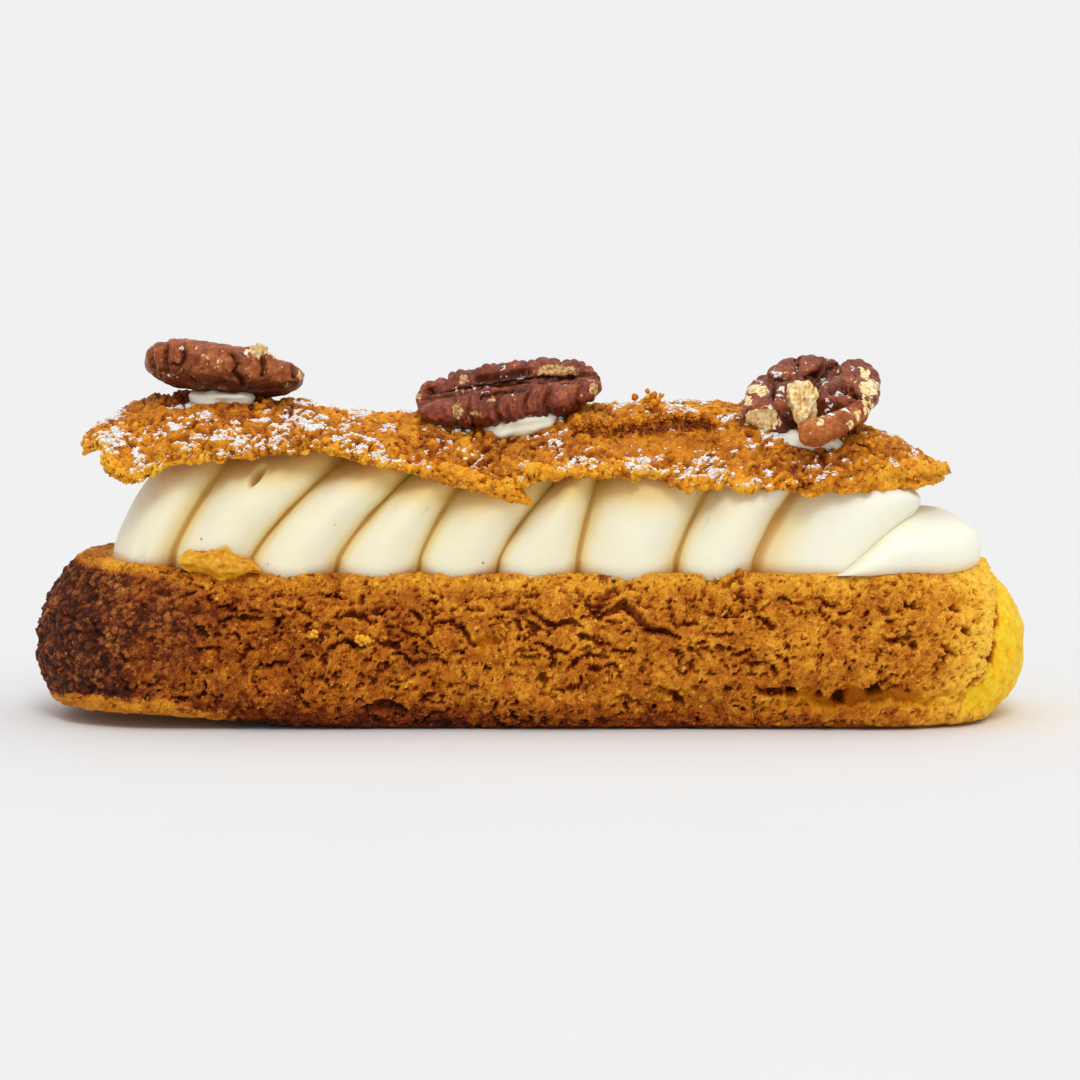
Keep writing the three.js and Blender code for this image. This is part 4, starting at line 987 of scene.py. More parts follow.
def make_lid(crust, crumbs, sugar):
    """The lid: its form pushed out by the crust's relief, with crumbs and icing sugar on it."""
    form, share, level = lid_form()
    normals = grid_normals(form)
    relief, crack, brink, grain = lid_relief(form)
    x, y, _ = np.moveaxis(form, -1, 0)
    on_top = smooth(0.2, 0.9, level)
    floor, wall, ridge, lip = (value * on_top for value in lid_fold(form))
    fibre = fuzz(form * np.array([1.0, 0.35, 1.0]), 0.7, 40.0) - 0.5
    holes = front_spots(drifted(form, 1.0, 1.2, 48.0), LID_HOLES) * on_top
    height = mix(relief, FOLD["floor"] + fibre, floor * (1 - 0.7 * wall))
    height = height + FOLD["ridge"] * ridge - 1.3 * holes
    shape = pushed(form, height * mix(0.3, 1.0, on_top) * smooth(1.0, 0.9, 1 - share))
    toast_and_shading = lid_toast_and_shading(form, share, crack, brink, grain) - 0.1 * holes
    spongy = ripple(shape, (0.5, 1.4, 57.0), (0.3, 0.4, 58.0))
    # The fold's broken wall is painted darker: painted shadow under the ridge.
    toast_and_shading = mix(toast_and_shading, 0.45 - 0.4 * spongy, np.maximum(floor, wall)) + 0.28 * wall
    toast_and_shading = toast_and_shading + 0.1 * smooth(-30, -40, x) * smooth(-8, -4, y)
    upward = smooth(0.35, 0.7, grid_normals(shape)[..., 2])
    sugared = lid_dusting(form, relief, crack, ridge) * on_top * upward
    sugared = sugared * (1 - 0.6 * floor) * (1 - wall) * (1 - holes)
    values = dict(toast_and_shading=toast_and_shading, crack=crack, sugar=sugared)
    grid_piece("choux_lid_crust", shape, values, crust, "choux", ["choux_lid"])
    area = grid_areas(form)
    broken = smooth(0.92, 1.0, share)
    all_over = area * mix(0.15, 1, on_top) * (1 - 0.9 * floor) * (1 - crack) * (1 + 5 * broken + 5 * ridge)
    # The crumbs on the fold's wall are darker: painted shadow.
    kinds = [
        ("golden", 13000, -0.08, 0.15, all_over), ("brown", 13000, 0.0, 0.17, all_over),
        ("lip", 1500, -0.06, 0.36, area * lip), ("wall", 700, 0.12, 0.24, grid_areas(shape) * wall),
    ]
    scatter_crumbs("lid_crumbs", kinds, LID_CRUMBS, shape, normals, toast_and_shading, dict(sugar=0.6 * sugared), crumbs)
    make_sugar(shape, normals, area * sugared**1.5, sugar)


def make_lone_crumbs(crumbs):
    """The crumbs that stand out: each is a knot of pebbles around its middle."""
    middles, radii, toasts = (np.repeat(np.array(part), KNOT["count"], axis=0) for part in zip(*LONE_CRUMBS))
    count = len(radii)
    places = middles + radii[:, None] * RANDOM.normal(size=(count, 3)) * np.array(KNOT["spread"])
    sizes = radii * RANDOM.uniform(*KNOT["sizes"], count)
    tone = toasts + 0.1 * RANDOM.normal(size=count)
    pebbles("lone_crumbs", places, upwards(count), sizes, 1.0, dict(toast_and_shading=tone), crumbs, "choux")


# The flap of crust that hangs from the lid's front edge: its two ends and half sizes across and in height
FLAP = dict(start=(-13.0, -16.9, 36.3), end=(-0.6, -18.0, 32.0), half_across=1.2, half_height=1.2)


def make_flap(crust):
    """The flap: a blunt spindle carried from one end to the other, with the crust's relief."""
    start, end = np.array(FLAP["start"]), np.array(FLAP["end"])
    turn, along = round_grid(120, 160)
    girth = np.maximum(0, np.sin(along)) ** 0.5 * mix(1.15, 0.75, along / math.pi)
    line = mix(start, end, (0.5 - 0.5 * np.cos(along))[..., None])
    across = FLAP["half_across"] * np.cos(turn) * girth
    up = FLAP["half_height"] * np.sin(turn) * girth
    form = line + np.stack([0 * up, across, up], -1)
    relief, crack, brink, grain = crust_relief(form, 1.5, 0.8, 1.0, 1.3, 0.5)
    shape = pushed(form, relief * smooth(0, 0.3, girth))
    # Painted shade in gaps, painted light on brinks and on raised grains.
    toast_and_shading = 0.33 + ripple(form, (0.2, 2.0, 28.0)) + 0.3 * crack - 0.12 * brink - 0.1 * grain
    grid_piece("choux_lid_flap", shape[::-1], dict(toast_and_shading=toast_and_shading[::-1], crack=crack[::-1]), crust, "choux")


# Piped cream

# Where the rope meets its end lobe, as seen from the front in X and Z
CREASE = [(42.0, 22.0), (46.0, 25.0), (50.0, 28.2), (54.0, 29.6)]
# Air holes in the front of the cream, slanted as its lobes are: X, Z, half width, half height and depth
AIR_HOLES = [
    (-38.4, 35.2, 0.75, 1.4, 1.7), (-54.6, 24.7, 0.9, 0.7, 0.6), (-36.2, 27.0, 0.4, 0.4, 0.4),
    (23.6, 29.0, 0.35, 0.35, 0.5), (-15.0, 30.4, 0.3, 0.3, 0.4),
]


def lobe_profile(phase):
    """Height of a lobe along the rope, 0 in a groove and 1 between two: a power of a sine with a soft
    bottom."""
    soft, power = CREAM["groove_soft"], CREAM["lobe_power"] / 2
    raised = (np.sin(math.pi * phase) ** 2 + soft) ** power
    return (raised - soft**power) / ((1 + soft) ** power - soft**power)


def rope_stations():
    """Rows of the rope, from tip to tip: where each starts on the base, its lean over the rope's height,
    its share of the full section and how deep it lies in a groove."""
    stops = np.array([CREAM["left"], *CREAM_GROOVES, CREAM["right"]])
    last = len(stops) - 2
    row = np.arange((last + 1) * CREAM_ROWS + 1)
    lobe = np.minimum(last, row // CREAM_ROWS)
    step = row / CREAM_ROWS - lobe
    along = np.where(lobe == 0, 1 - np.cos(math.pi / 2 * step), step)
    along = np.where(lobe == last, np.sin(math.pi / 2 * step), along)
    phase = np.where(lobe == 0, 0.5 + 0.5 * along, along)
    phase = np.where(lobe == last, 0.5 * along, phase)
    foot, lean = mix(stops[lobe], stops[lobe + 1], along[:, None]).T
    from_left = (foot - CREAM["left"][0]) / CREAM["cap_left"]
    from_right = (CREAM["right"][0] - foot) / CREAM["cap_right"]
    to_tip = 1 - np.minimum(np.minimum(from_left, from_right), 1)
    size = (1 - clamp01(to_tip) ** CREAM["cap_power"]) ** (1 / CREAM["cap_power"])
    return foot, lean, size, 1 - lobe_profile(phase)


def rope_section():
    """Outline of the rope's section: an arch from the front foot over the top to the back foot, then the
    underside. Gives the reach across from -1 to 1 and the height over the waist."""
    arch, flat = CREAM_COLUMNS
    low_angle, power = CREAM["foot_angle"], CREAM["squareness"]
    angle = np.linspace(-low_angle, math.pi + low_angle, arch)
    up = root(np.sin(angle), power)
    scale = np.where(up > 0, 1 - CREAM["waist"], CREAM["waist"] / root(math.sin(low_angle), power))
    across = -root(np.cos(angle), power)
    over = CREAM["height"] * scale * up
    back = np.linspace(across[-1], across[0], flat + 2)[1:-1]
    return np.concatenate([across, back]), np.concatenate([over, np.full(flat, over[0])])


def lid_shade(x, z):
    """How much warm painted shade the cream gets close under the lid's front edge, which lets the light in at
    both ends.
    """
    below = lid_underside(x, -0.94 * LID["half_width"]) - z
    return smooth(5.5, 0.0, below) * smooth(38, 12, x) * mix(0.35, 1.0, smooth(-56, -40, x))


def rope_form():
    """Grid of points of the rope: the section scaled by each station, sheared to its lean, rounded off at
    the right end and kept under the lid."""
    foot, lean, size, groove = (value[:, None] for value in rope_stations())
    across, over = rope_section()
    low = cut_height(foot)
    share = over / CREAM["height"] + CREAM["waist"]
    depth = CREAM["groove"] * mix(CREAM["foot_groove"], 1.0, smooth(0.0, 0.4, share))
    girth = 1 - depth / CREAM["half_width"] * groove
    y = CREAM["half_width"] * size * girth * across
    tall = np.where(over > 0, size, 1.0) * girth
    z = np.maximum(low, low + CREAM["height"] * CREAM["waist"] + tall * over)
    above = lid_underside(foot + lean * CREAM["bend_at"], y) + TOUCH
    z = above - np.log1p(np.exp(above - z))
    climb = np.maximum(0, z - low) / CREAM["height"] / CREAM["bend_at"]
    x = foot + lean * CREAM["bend_at"] * climb ** CREAM["bend"]
    limit = CREAM["end"] - CREAM["end_curve"] * np.maximum(0, z - CREAM["end_from"]) ** 2
    room = (limit - x) / CREAM["end_soft"]
    x = x + CREAM["end_soft"] * (room - np.log1p(np.exp(room)))
    z = np.minimum(z, lid_underside(x, y) + TOUCH)
    # Painted shade under the lid's front edge.
    shade = lid_shade(x, z)
    z = np.where(over <= over.min() + WELD, low - TOUCH, z)
    return np.stack([x, y, z], -1), groove + 0 * x, shade


def make_cream(cream):
    """The rope with soft swells and air holes, which fade out at its ends."""
    form, groove, shade = (value[:, ::-1] for value in rope_form())
    x, y, z = np.moveaxis(form, -1, 0)
    holes = np.zeros_like(x)
    for at_x, at_z, half_x, half_z, depth in AIR_HOLES:
        away = np.hypot((x - at_x - 0.6 * (z - at_z)) / half_x, (z - at_z) / half_z)
        holes = np.maximum(holes, depth * smooth(1.2, 0.5, away) * (y < 0))
    from_tip = smooth(0, 30, np.arange(len(form)))
    ends = (from_tip * from_tip[::-1])[:, None]
    swell = ripple(form, (0.5, 5.0, 16.0), (0.12, 1.2, 17.0))
    shape = pushed(form, (swell - holes) * ends)
    values = dict(hole=holes, groove=groove, shade=shade, warm=smooth(46, 0, x))
    grid_piece("cream_rope_piped", shape, values, cream, "cream", ["cream_rope"])


def make_end_lobe(cream):
    """The rope's low end lobe: a squared ball drawn out to a thin wide tail on the left."""
    lobe = ball_form(END_LOBE["half"], 0.0, 160, 90, power=END_LOBE["power"])
    headward = smooth(-0.85, 0.15, lobe[..., 0] / END_LOBE["half"][0])
    lobe[..., 1] *= mix(END_LOBE["tail_wider"], 1.0, headward)
    lobe[..., 2] = lobe[..., 2] * headward + mix(END_LOBE["tail"], END_LOBE["head"], headward)
    lobe[..., :2] += np.array(END_LOBE["at"])
    lobe = pushed(lobe, ripple(lobe, (0.6, 5.0, 18.0)))
    # The crease where the lobe meets the rope is painted like a groove: painted shade.
    crease = front_folds(lobe, [CREASE], 1.2)[0]
    grid_piece("cream_end_lobe", lobe, dict(groove=0.65 * crease), cream, "cream")


# Small soft lumps

def ball_form(half, lumps, columns, rows, power=2.0):
    """Grid of points of a ball, squarer for a higher power, stretched to its half sizes and made uneven by
    noise."""
    turn, rise = round_grid(columns, rows)
    girth, up = root(np.sin(rise), power), -root(np.cos(rise), power)
    x, y = (girth * root(wave(turn), power) for wave in (np.cos, np.sin))
    ball = np.stack([x, y, up + 0 * turn], -1)
    swell = 1 + lumps * layered(SWELLS, *np.moveaxis(ball, -1, 0))
    return ball * np.array(half) * swell[..., None]


def make_dabs(cream):
    """Each dab: a flat uneven cushion that tilts along X."""
    for dab in DABS:
        form = ball_form(dab["half"], 0.12, 90, 54, power=3.0)
        form[..., 2] += dab["tilt"] * form[..., 0]
        form = form + np.array(dab["at"])
        shape = pushed(form, ripple(form, (0.6, 1.4, 19.0)))
        node = f"cream_dab_{dab['name']}"
        grid_piece(f"{node}_soft", shape, dict(warm=0.6), cream, "cream", [node])


def make_fruit(fruit):
    """The fruit piece: a torn wedge between its upper and lower outlines, with flat facets and fibres along
    it."""
    turn, along = round_grid(120, 110)
    girth = np.sin(along) ** 0.6
    x = mix(FRUIT["top"][0][0], FRUIT["top"][-1][0], 0.5 - 0.5 * np.cos(along))
    top, bottom = (np.interp(x, *np.transpose(FRUIT[side])) for side in ("top", "bottom"))
    half = 0.5 * (top - bottom) * clamp01(3 * girth)
    y = FRUIT["at_y"] + FRUIT["half_y"] * girth * np.cos(turn)
    z = 0.5 * (top + bottom) + half * np.sin(turn)
    form = np.stack([x + 0 * turn, y, z], -1)
    near, second, chance, _ = cells(drifted(form, 2.0, 0.8, 41.0), 1.8 * np.ones(3), 20.0)
    fibre = fuzz(form * np.array([0.4, 1.0, 1.0]), 0.6, 21.0) - 0.5
    facet = 0.7 * (chance - 0.5) * smooth(0.0, 0.5, second - near)
    shape = pushed(form, (facet + 0.3 * fibre) * girth)
    values = dict(fibre=(fibre + 0.4 * chance - 0.2)[::-1])
    grid_piece("fruit_piece_cooked", shape[::-1], values, fruit, "fruit", ["fruit_piece"])


# Pecan halves

def turn_matrix(yaw, pitch, roll):
    """Roll about X, then pitch about Y, then yaw about Z, in degrees."""
    a, b, c = (math.radians(angle) for angle in (roll, pitch, yaw))
    about_x = np.array([(1, 0, 0), (0, math.cos(a), -math.sin(a)), (0, math.sin(a), math.cos(a))])
    about_y = np.array([(math.cos(b), 0, math.sin(b)), (0, 1, 0), (-math.sin(b), 0, math.cos(b))])
    about_z = np.array([(math.cos(c), -math.sin(c), 0), (math.sin(c), math.cos(c), 0), (0, 0, 1)])
    return about_z @ about_y @ about_x


def pecan_form(size):
    """Grid of a plain pecan half, cloven side up and long way along X: a blunt-ended spindle, rounder
    below, with a cleft above and two furrows below. Gives the points, the girth and how far up each point
    faces."""
    long, wide, thick = size
    turn, along = round_grid(260, 180)
    facing = np.sin(turn)
    girth = np.maximum(0, np.sin(along)) ** PECAN["bluntness"]
    from_back = np.abs(np.arctan2(facing, np.cos(turn)) + math.pi / 2)
    furrow = PECAN["furrow"] * bell(from_back, PECAN["furrow_angle"], PECAN["furrow_width"])
    radius = girth * (1 - np.where(facing >= 0, 0, furrow))
    x = -PECAN["half_length"] * long * np.cos(along) + 0 * turn
    y = PECAN["half_width"] * wide * radius * np.cos(turn)
    z = np.where(facing >= 0, PECAN["face"], PECAN["back"]) * thick * radius * facing
    z = z - PECAN["cleft"] * thick * girth * bell(y, 0, PECAN["cleft_width"]) * np.maximum(0, facing)
    return np.stack([x, y, z], -1), girth + 0 * x, facing + 0 * x


def broken_nut(form):
    """The right nut's form with its near end parted by a notch, a lesser notch at its far end, its left
    lobe snapped off and its right lobe cut short. Gives the points and where the break bares the flesh."""
    x, y, z = np.moveaxis(form, -1, 0)
    x = x + BROKEN["notch"] * bell(y, 0, BROKEN["notch_width"]) * smooth(-1.0, -10.0, x)
    x = x - BROKEN["far_notch"] * bell(y, BROKEN["far_at"], BROKEN["far_width"]) * smooth(7.0, 11.0, x)
    snap = BROKEN["snapped"] + ripple(form, (0.8, 1.2, 29.0)) - 0.25 * z
    left, right = smooth(0.4, 1.4, y), smooth(-0.4, -1.4, y)
    bared = smooth(-0.2, 0.4, snap - x) * left
    x = mix(x, np.maximum(x, snap), left)
    x = mix(x, BROKEN["right_end"] + np.log1p(np.exp(x - BROKEN["right_end"])), right)
    return np.stack([x, y, z], -1), bared


def front_folds(points, paths, width):
    """Folds drawn as lines on the front in X and Z. Gives 1 along each line, fading out over the width, and
    how near a point is to a line on its left side, where the fold laps over."""
    x, z = points[..., 0], points[..., 2]
    nearest = np.full(x.shape, 99.0)
    side = np.zeros_like(x)
    for path in paths:
        for (x0, z0), (x1, z1) in zip(path[:-1], path[1:]):
            run, rise = x1 - x0, z1 - z0
            t = clamp01(((x - x0) * run + (z - z0) * rise) / (run**2 + rise**2))
            away = np.hypot(x - x0 - t * run, z - z0 - t * rise)
            side = np.where(away < nearest, run * (z - z0) - rise * (x - x0), side)
            nearest = np.minimum(nearest, away)
    return bell(nearest, 0, width), np.exp(-nearest / 1.6) * (side > 0)


def lobes(x, stops):
    """Height of rounded lobes between stops along X, 0 at each stop and 1 between, and the count of lobes
    so far."""
    count = np.interp(x, stops, np.arange(len(stops)))
    return np.abs(np.sin(math.pi * count)) ** 0.4, count


def nut_relief(nut, form, placed, girth, facing):
    """Relief of a nut: its rim is parted into lobes with fine ribs, its cleft is a ridged trough, its skin
    is wrinkled. Gives the height and how deep in a hollow each point lies."""
    y = form[..., 1]
    flat = np.abs(y) / (PECAN["half_width"] * nut["size"][1])
    slant = placed[..., 0] + ripple(form, (1.5, 3.0, 22.0)) + 0.12 * form[..., 2]
    near, far = lobes(slant, nut["near"]), lobes(slant, nut["far"])
    lobe, count = (np.where(y < 0, *pair) for pair in zip(near, far))
    rim = smooth(0.2, 0.6, flat / np.maximum(girth, 0.2)) * girth * smooth(-1.0, -0.5, facing)
    ribs = np.abs(np.sin(3 * math.pi * count)) ** 0.6
    trough = bell(y, 0, PECAN["cleft_width"]) * np.maximum(0, facing) * girth
    parting = nut["depth"] * (1 - lobe) + nut["ribs"] * (1 - ribs)
    height = 0.5 * trough * np.cos(4.2 * y) - parting * rim
    wrinkle = fuzz(form * np.array([1.0, 0.22, 0.3]), 0.5, 32.0) - 0.5
    height = height + ripple(form, (0.6, 2.2, 23.0), (0.25, 0.8, 24.0))
    height = height + 0.45 * wrinkle * rim * smooth(0.3, 0.6, fuzz(form, 3.0, 36.0))
    deep = np.maximum(min(1.0, nut["depth"]) * (1 - lobe) * rim, 0.8 * trough)
    deep = np.maximum(deep, 0.6 * smooth(0.0, -0.3, wrinkle) * rim)
    return height * smooth(0, 0.25, girth), deep


def make_pecan(nut, pecan):
    """A pecan half: its form turned and placed, pushed out by its relief, then folded on its front."""
    form, girth, facing = pecan_form(nut["size"])
    bared = np.zeros_like(girth)
    if "broken" in nut:
        form, bared = broken_nut(form)
    form[..., 1:] *= 1 - nut["taper"] * form[..., :1] / PECAN["half_length"]
    placed = form @ turn_matrix(*nut["turn"]).T + np.array(nut["at"])
    height, deep = nut_relief(nut, form, placed, girth, facing)
    placed = pushed(placed, height)
    normals = grid_normals(placed)
    front = smooth(0.2, -0.2, normals[..., 1])
    crease, lap = front_folds(drifted(placed, 1.0, 0.4, 30.0), nut["folds"], 0.34)
    placed = placed + normals * ((nut["lip"] * lap - 0.9 * crease) * front)[..., None]
    ragged = drifted(placed, 0.8, 0.7, 25.0)
    rubbed = front_spots(ragged, nut["flesh"]) * front
    placed = placed + normals * (nut["flake"] * front_spots(ragged, nut["flesh"][:1]) * front)[..., None]
    snapped = 1.6 * bared * front_spots(ragged, SNAPPED_FACE)
    # A dark halo round each fold: painted shade.
    folded = np.maximum(crease, 0.6 * crease**0.12) * front
    # Darker on what faces down: painted shade.
    below = 0.7 * smooth(0.3, -0.7, normals[..., 2])
    # Dark gaps: painted shadow.
    shadow_gaps = front_spots(ragged, nut["shadow_gaps"])
    dust = front_spots(drifted(placed, 0.4, 0.6, 26.0), nut["dust"]) * front
    values = dict(
        deep=clamp01(np.max([deep, folded, below, shadow_gaps], axis=0)), flesh=np.maximum(rubbed, snapped),
        dust=dust, stain=nut["stain"], tan=nut["tan"],
    )
    values = {label: (value + 0 * deep)[::-1] for label, value in values.items()}
    node = f"pecan_{nut['name']}"
    grid_piece(f"{node}_half", placed[::-1], values, pecan, "pecan", [node])


def make_tongue(pecan):
    """The pale flesh in the right nut's cleft: an upright uneven lump that narrows towards its foot."""
    form = ball_form(TONGUE["half"], 0.5, 70, 50)
    form[..., 0] *= 1 + TONGUE["taper"] * form[..., 2] / TONGUE["half"][2]
    form = form + np.array(TONGUE["at"])
    dip = bell(form[..., 0], TONGUE["at"][0] + 0.2, 0.9) * bell(form[..., 2], TONGUE["at"][2] + 0.9, 1.5)
    shape = pushed(form, ripple(form, (0.8, 0.9, 27.0), (0.4, 0.4, 55.0)) - 1.2 * dip)
    # The dip in the flesh is painted darker and yellower: painted shade.
    grid_piece("pecan_right_flesh", shape, dict(flesh=1.6, deep=0.9 * dip), pecan, "pecan")


def make_thumb(pecan):
    """The right nut's bent lobe: a round section carried along a curve from its tip by its bend to its end,
    where it grows into the nut."""
    tip, bend, end = (np.array(THUMB[stop]) for stop in ("tip", "bend", "end"))
    turn, along = round_grid(110, 120)
    t = 0.5 - 0.5 * np.cos(along)
    line = (1 - t) ** 2 * tip + 2 * t * (1 - t) * bend + t**2 * end
    ahead = 2 * (1 - t) * (bend - tip) + 2 * t * (end - bend)
    ahead = ahead / np.linalg.norm(ahead, axis=-1, keepdims=True)
    side = np.cross(ahead, (0.0, 0.0, 1.0))
    side = side / np.linalg.norm(side, axis=-1, keepdims=True)
    up = np.cross(side, ahead)
    radius = np.sin(along) ** 0.5 * mix(THUMB["tip_radius"], THUMB["end_radius"], t)
    radius = radius * (1 - 0.12 * bell(t, 0.45, 0.2))
    spokes = np.cos(turn)[None, :, None] * side[:, None] + np.sin(turn)[None, :, None] * up[:, None]
    form = line[:, None] + radius[..., None] * spokes
    form = pushed(form, ripple(form, (0.9, 2.0, 49.0), (0.3, 0.7, 50.0)) * np.sin(along))
    ragged = drifted(form, 0.8, 0.7, 25.0)
    values = {label: front_spots(ragged, THUMB[label]) for label in ("flesh", "dust")}
    grid_piece("pecan_right_lobe", form, dict(tan=smooth(0.9, 0.2, t), **values), pecan, "pecan")


# Materials

def srgb(red, green, blue):
    """A colour as read off a screen, 0 to 255, made linear."""
    values = np.array([red, green, blue]) / 255
    linear = np.where(values <= 0.04045, values / 12.92, ((values + 0.055) / 1.055) ** 2.4)
    return (*linear.tolist(), 1.0)


class Finish:
    """One node material: adds nodes, sets or links their sockets, and ends in a Principled shader."""

    def __init__(self, name):
        self.material = bpy.data.materials.new(name)
        self.material.use_nodes = True
        self.tree = self.material.node_tree
        self.shader = self.tree.nodes["Principled BSDF"]
        self.place = self.add("ShaderNodeTexCoord").outputs["Object"]

    def feed(self, socket, value):
        if isinstance(value, bpy.types.NodeSocket):
            self.tree.links.new(value, socket)
        else:
            socket.default_value = value

    def add(self, kind, **settings):
        node = self.tree.nodes.new(kind)
        for key, value in settings.items():
            setattr(node, key, value)
        return node

    def value(self, label):
        """The piece's own value of that name at each point."""
        return self.add("ShaderNodeAttribute", attribute_name=label).outputs["Fac"]

    def grain(self, size, stretch=(1, 1, 1)):
        """Noise from 0 to 1 with lumps of the given size in millimetres."""
        mapping = self.add("ShaderNodeMapping")
        self.feed(mapping.inputs["Vector"], self.place)
        mapping.inputs["Scale"].default_value = [s / (size * MM) for s in stretch]
        texture = self.add("ShaderNodeTexNoise")
        self.feed(texture.inputs["Vector"], mapping.outputs["Vector"])
        texture.inputs["Scale"].default_value = 1.0
        texture.inputs["Detail"].default_value = 3.0
        return texture.outputs["Fac"]

    def math(self, operation, a, b):
        node = self.add("ShaderNodeMath", operation=operation)
        self.feed(node.inputs[0], a)
        self.feed(node.inputs[1], b)
        return node.outputs[0]

    def weighted(self, *terms, total=0.0):
        """Sum of sockets times shares, given as pairs, on top of a total."""
        for socket, share in terms:
            total = self.math("ADD", self.math("MULTIPLY", socket, share), total)
        return total

    def step(self, value, start, end):
        """Eased step from 0 at start to 1 at end."""
        node = self.add("ShaderNodeMapRange", interpolation_type="SMOOTHSTEP")
        self.feed(node.inputs["Value"], value)
        low, high = (start, end) if start < end else (end, start)
        node.inputs["From Min"].default_value = low
        node.inputs["From Max"].default_value = high
        node.inputs["To Min"].default_value = 0.0 if start < end else 1.0
        node.inputs["To Max"].default_value = 1.0 if start < end else 0.0
        return node.outputs["Result"]

    def ramp(self, value, stops):
        """Colours along a value: pairs of place and colour."""
        node = self.add("ShaderNodeValToRGB")
        self.feed(node.inputs["Fac"], value)
        elements = node.color_ramp.elements
        while len(elements) < len(stops):
            elements.new(0.5)
        for element, (place, colour) in zip(elements, stops):
            element.position = place
            element.color = colour
        return node.outputs["Color"]

    def blend(self, share, a, b, blend_type="MIX"):
        """Two colours mixed by a share, or one put over the other in another way."""
        node = self.add("ShaderNodeMix", data_type="RGBA", blend_type=blend_type)
        self.feed(node.inputs["Factor"], share)
        self.feed(node.inputs[6], a)
        self.feed(node.inputs[7], b)
        return node.outputs[2]

    def tint(self, colour, share, much, other):
        """A colour with much of another one mixed in where the share is 1."""
        return self.blend(self.math("MULTIPLY", share, much), colour, other)

    def bump(self, height, distance, strength):
        node = self.add("ShaderNodeBump")
        self.feed(node.inputs["Height"], height)
        node.inputs["Distance"].default_value = distance * MM
        node.inputs["Strength"].default_value = strength
        self.feed(self.shader.inputs["Normal"], node.outputs["Normal"])

    def set(self, **sockets):
        for label, value in sockets.items():
            self.feed(self.shader.inputs[label.replace("_", " ")], value)
        return self.material


# Colours of baked crust, from hardly to darkly baked
BAKED_BASE = [
    (0.0, srgb(255, 203, 74)), (0.25, srgb(235, 163, 44)), (0.5, srgb(188, 106, 22)),
    (0.75, srgb(122, 47, 4)), (1.0, srgb(56, 18, 4)),
]
BAKED_LID = [
    (0.0, srgb(255, 198, 62)), (0.25, srgb(242, 163, 30)), (0.5, srgb(197, 116, 16)),
    (0.75, srgb(134, 55, 2)), (1.0, srgb(58, 18, 2)),
]
# Colours of burnt crust, paler and greyer partly for its sugar and partly as painted sheen, of bare choux,
# and what darkens bare choux in hollows and in the crust's shade, which is painted shade
SCORCHED_WITH_SHEEN = [(0.6, srgb(146, 98, 74)), (1.2, srgb(62, 38, 30))]
BARE_CHOUX = [(0.3, srgb(248, 164, 4)), (0.5, srgb(255, 206, 30)), (0.7, srgb(255, 228, 72))]
CHOUX_SHADE = [
    (0.0, (1, 1, 1, 1)), (0.3, srgb(224, 184, 130)), (0.65, srgb(176, 120, 66)), (1.0, srgb(92, 46, 14)),
]


def crust_finish(name, baked, gloss, glow):
    """Baked crust: colours along how darkly it is baked and how it is painted with shade and light, with
    small ragged pits painted darker as shade, smooth yellow choux where it is bare, painted darker as shade
    in its hollows and under the crust, and icing sugar where it is dusted. Light glows through its crumbs."""
    finish = Finish(name)
    fine, coarse = finish.grain(0.3), finish.grain(1.2)
    hollow = finish.step(finish.grain(0.7, stretch=(0.6, 0.6, 1.0)), 0.40, 0.34)
    crusty = finish.math("SUBTRACT", 1.0, finish.value("bare"))
    pit = finish.math("MULTIPLY", hollow, crusty)
    # Pits are painted darker: painted shade.
    toast_and_shading = finish.weighted((finish.value("toast_and_shading"), 1.0), (fine, 0.34), (coarse, 0.16), (pit, 0.2))
    crust = finish.ramp(finish.math("SUBTRACT", toast_and_shading, 0.25), baked)
    # Burnt crust, greyed partly for its sugar and partly as painted sheen.
    scorched_with_sheen = finish.math("MULTIPLY", finish.value("burnt"), 0.45)
    crust = finish.blend(scorched_with_sheen, crust, finish.ramp(toast_and_shading, SCORCHED_WITH_SHEEN))
    smooth_part = finish.ramp(finish.weighted((coarse, 0.7), (fine, 0.3)), BARE_CHOUX)
    # Painted shade on bare choux in cracks, holes and under the crust.
    shaded = finish.ramp(finish.value("crack"), CHOUX_SHADE)
    colour = finish.blend(finish.value("bare"), crust, finish.blend(1.0, smooth_part, shaded, "MULTIPLY"))
    dust = finish.weighted((finish.value("sugar"), 1.0), (fine, 0.5), (finish.grain(0.8), 0.4))
    colour = finish.blend(finish.step(dust, 0.95, 1.1), colour, srgb(250, 250, 249))
    finish.bump(finish.weighted((fine, 0.5), (finish.grain(0.14), 0.25), (pit, -0.8)), 0.3, 0.8)
    return finish.set(
        Base_Color=colour, Roughness=finish.weighted((fine, 0.3), total=0.38), Specular_IOR_Level=gloss,
        Subsurface_Weight=glow, Subsurface_Radius=(1.0, 0.5, 0.2), Subsurface_Scale=0.0005,
    )


def sugar_finish():
    finish = Finish("icing_sugar")
    fine = finish.grain(0.2)
    colour = finish.ramp(fine, [(0.3, srgb(248, 247, 245)), (0.7, srgb(255, 255, 254))])
    finish.bump(fine, 0.1, 0.5)
    return finish.set(Base_Color=colour, Roughness=0.9, Specular_IOR_Level=0.2)


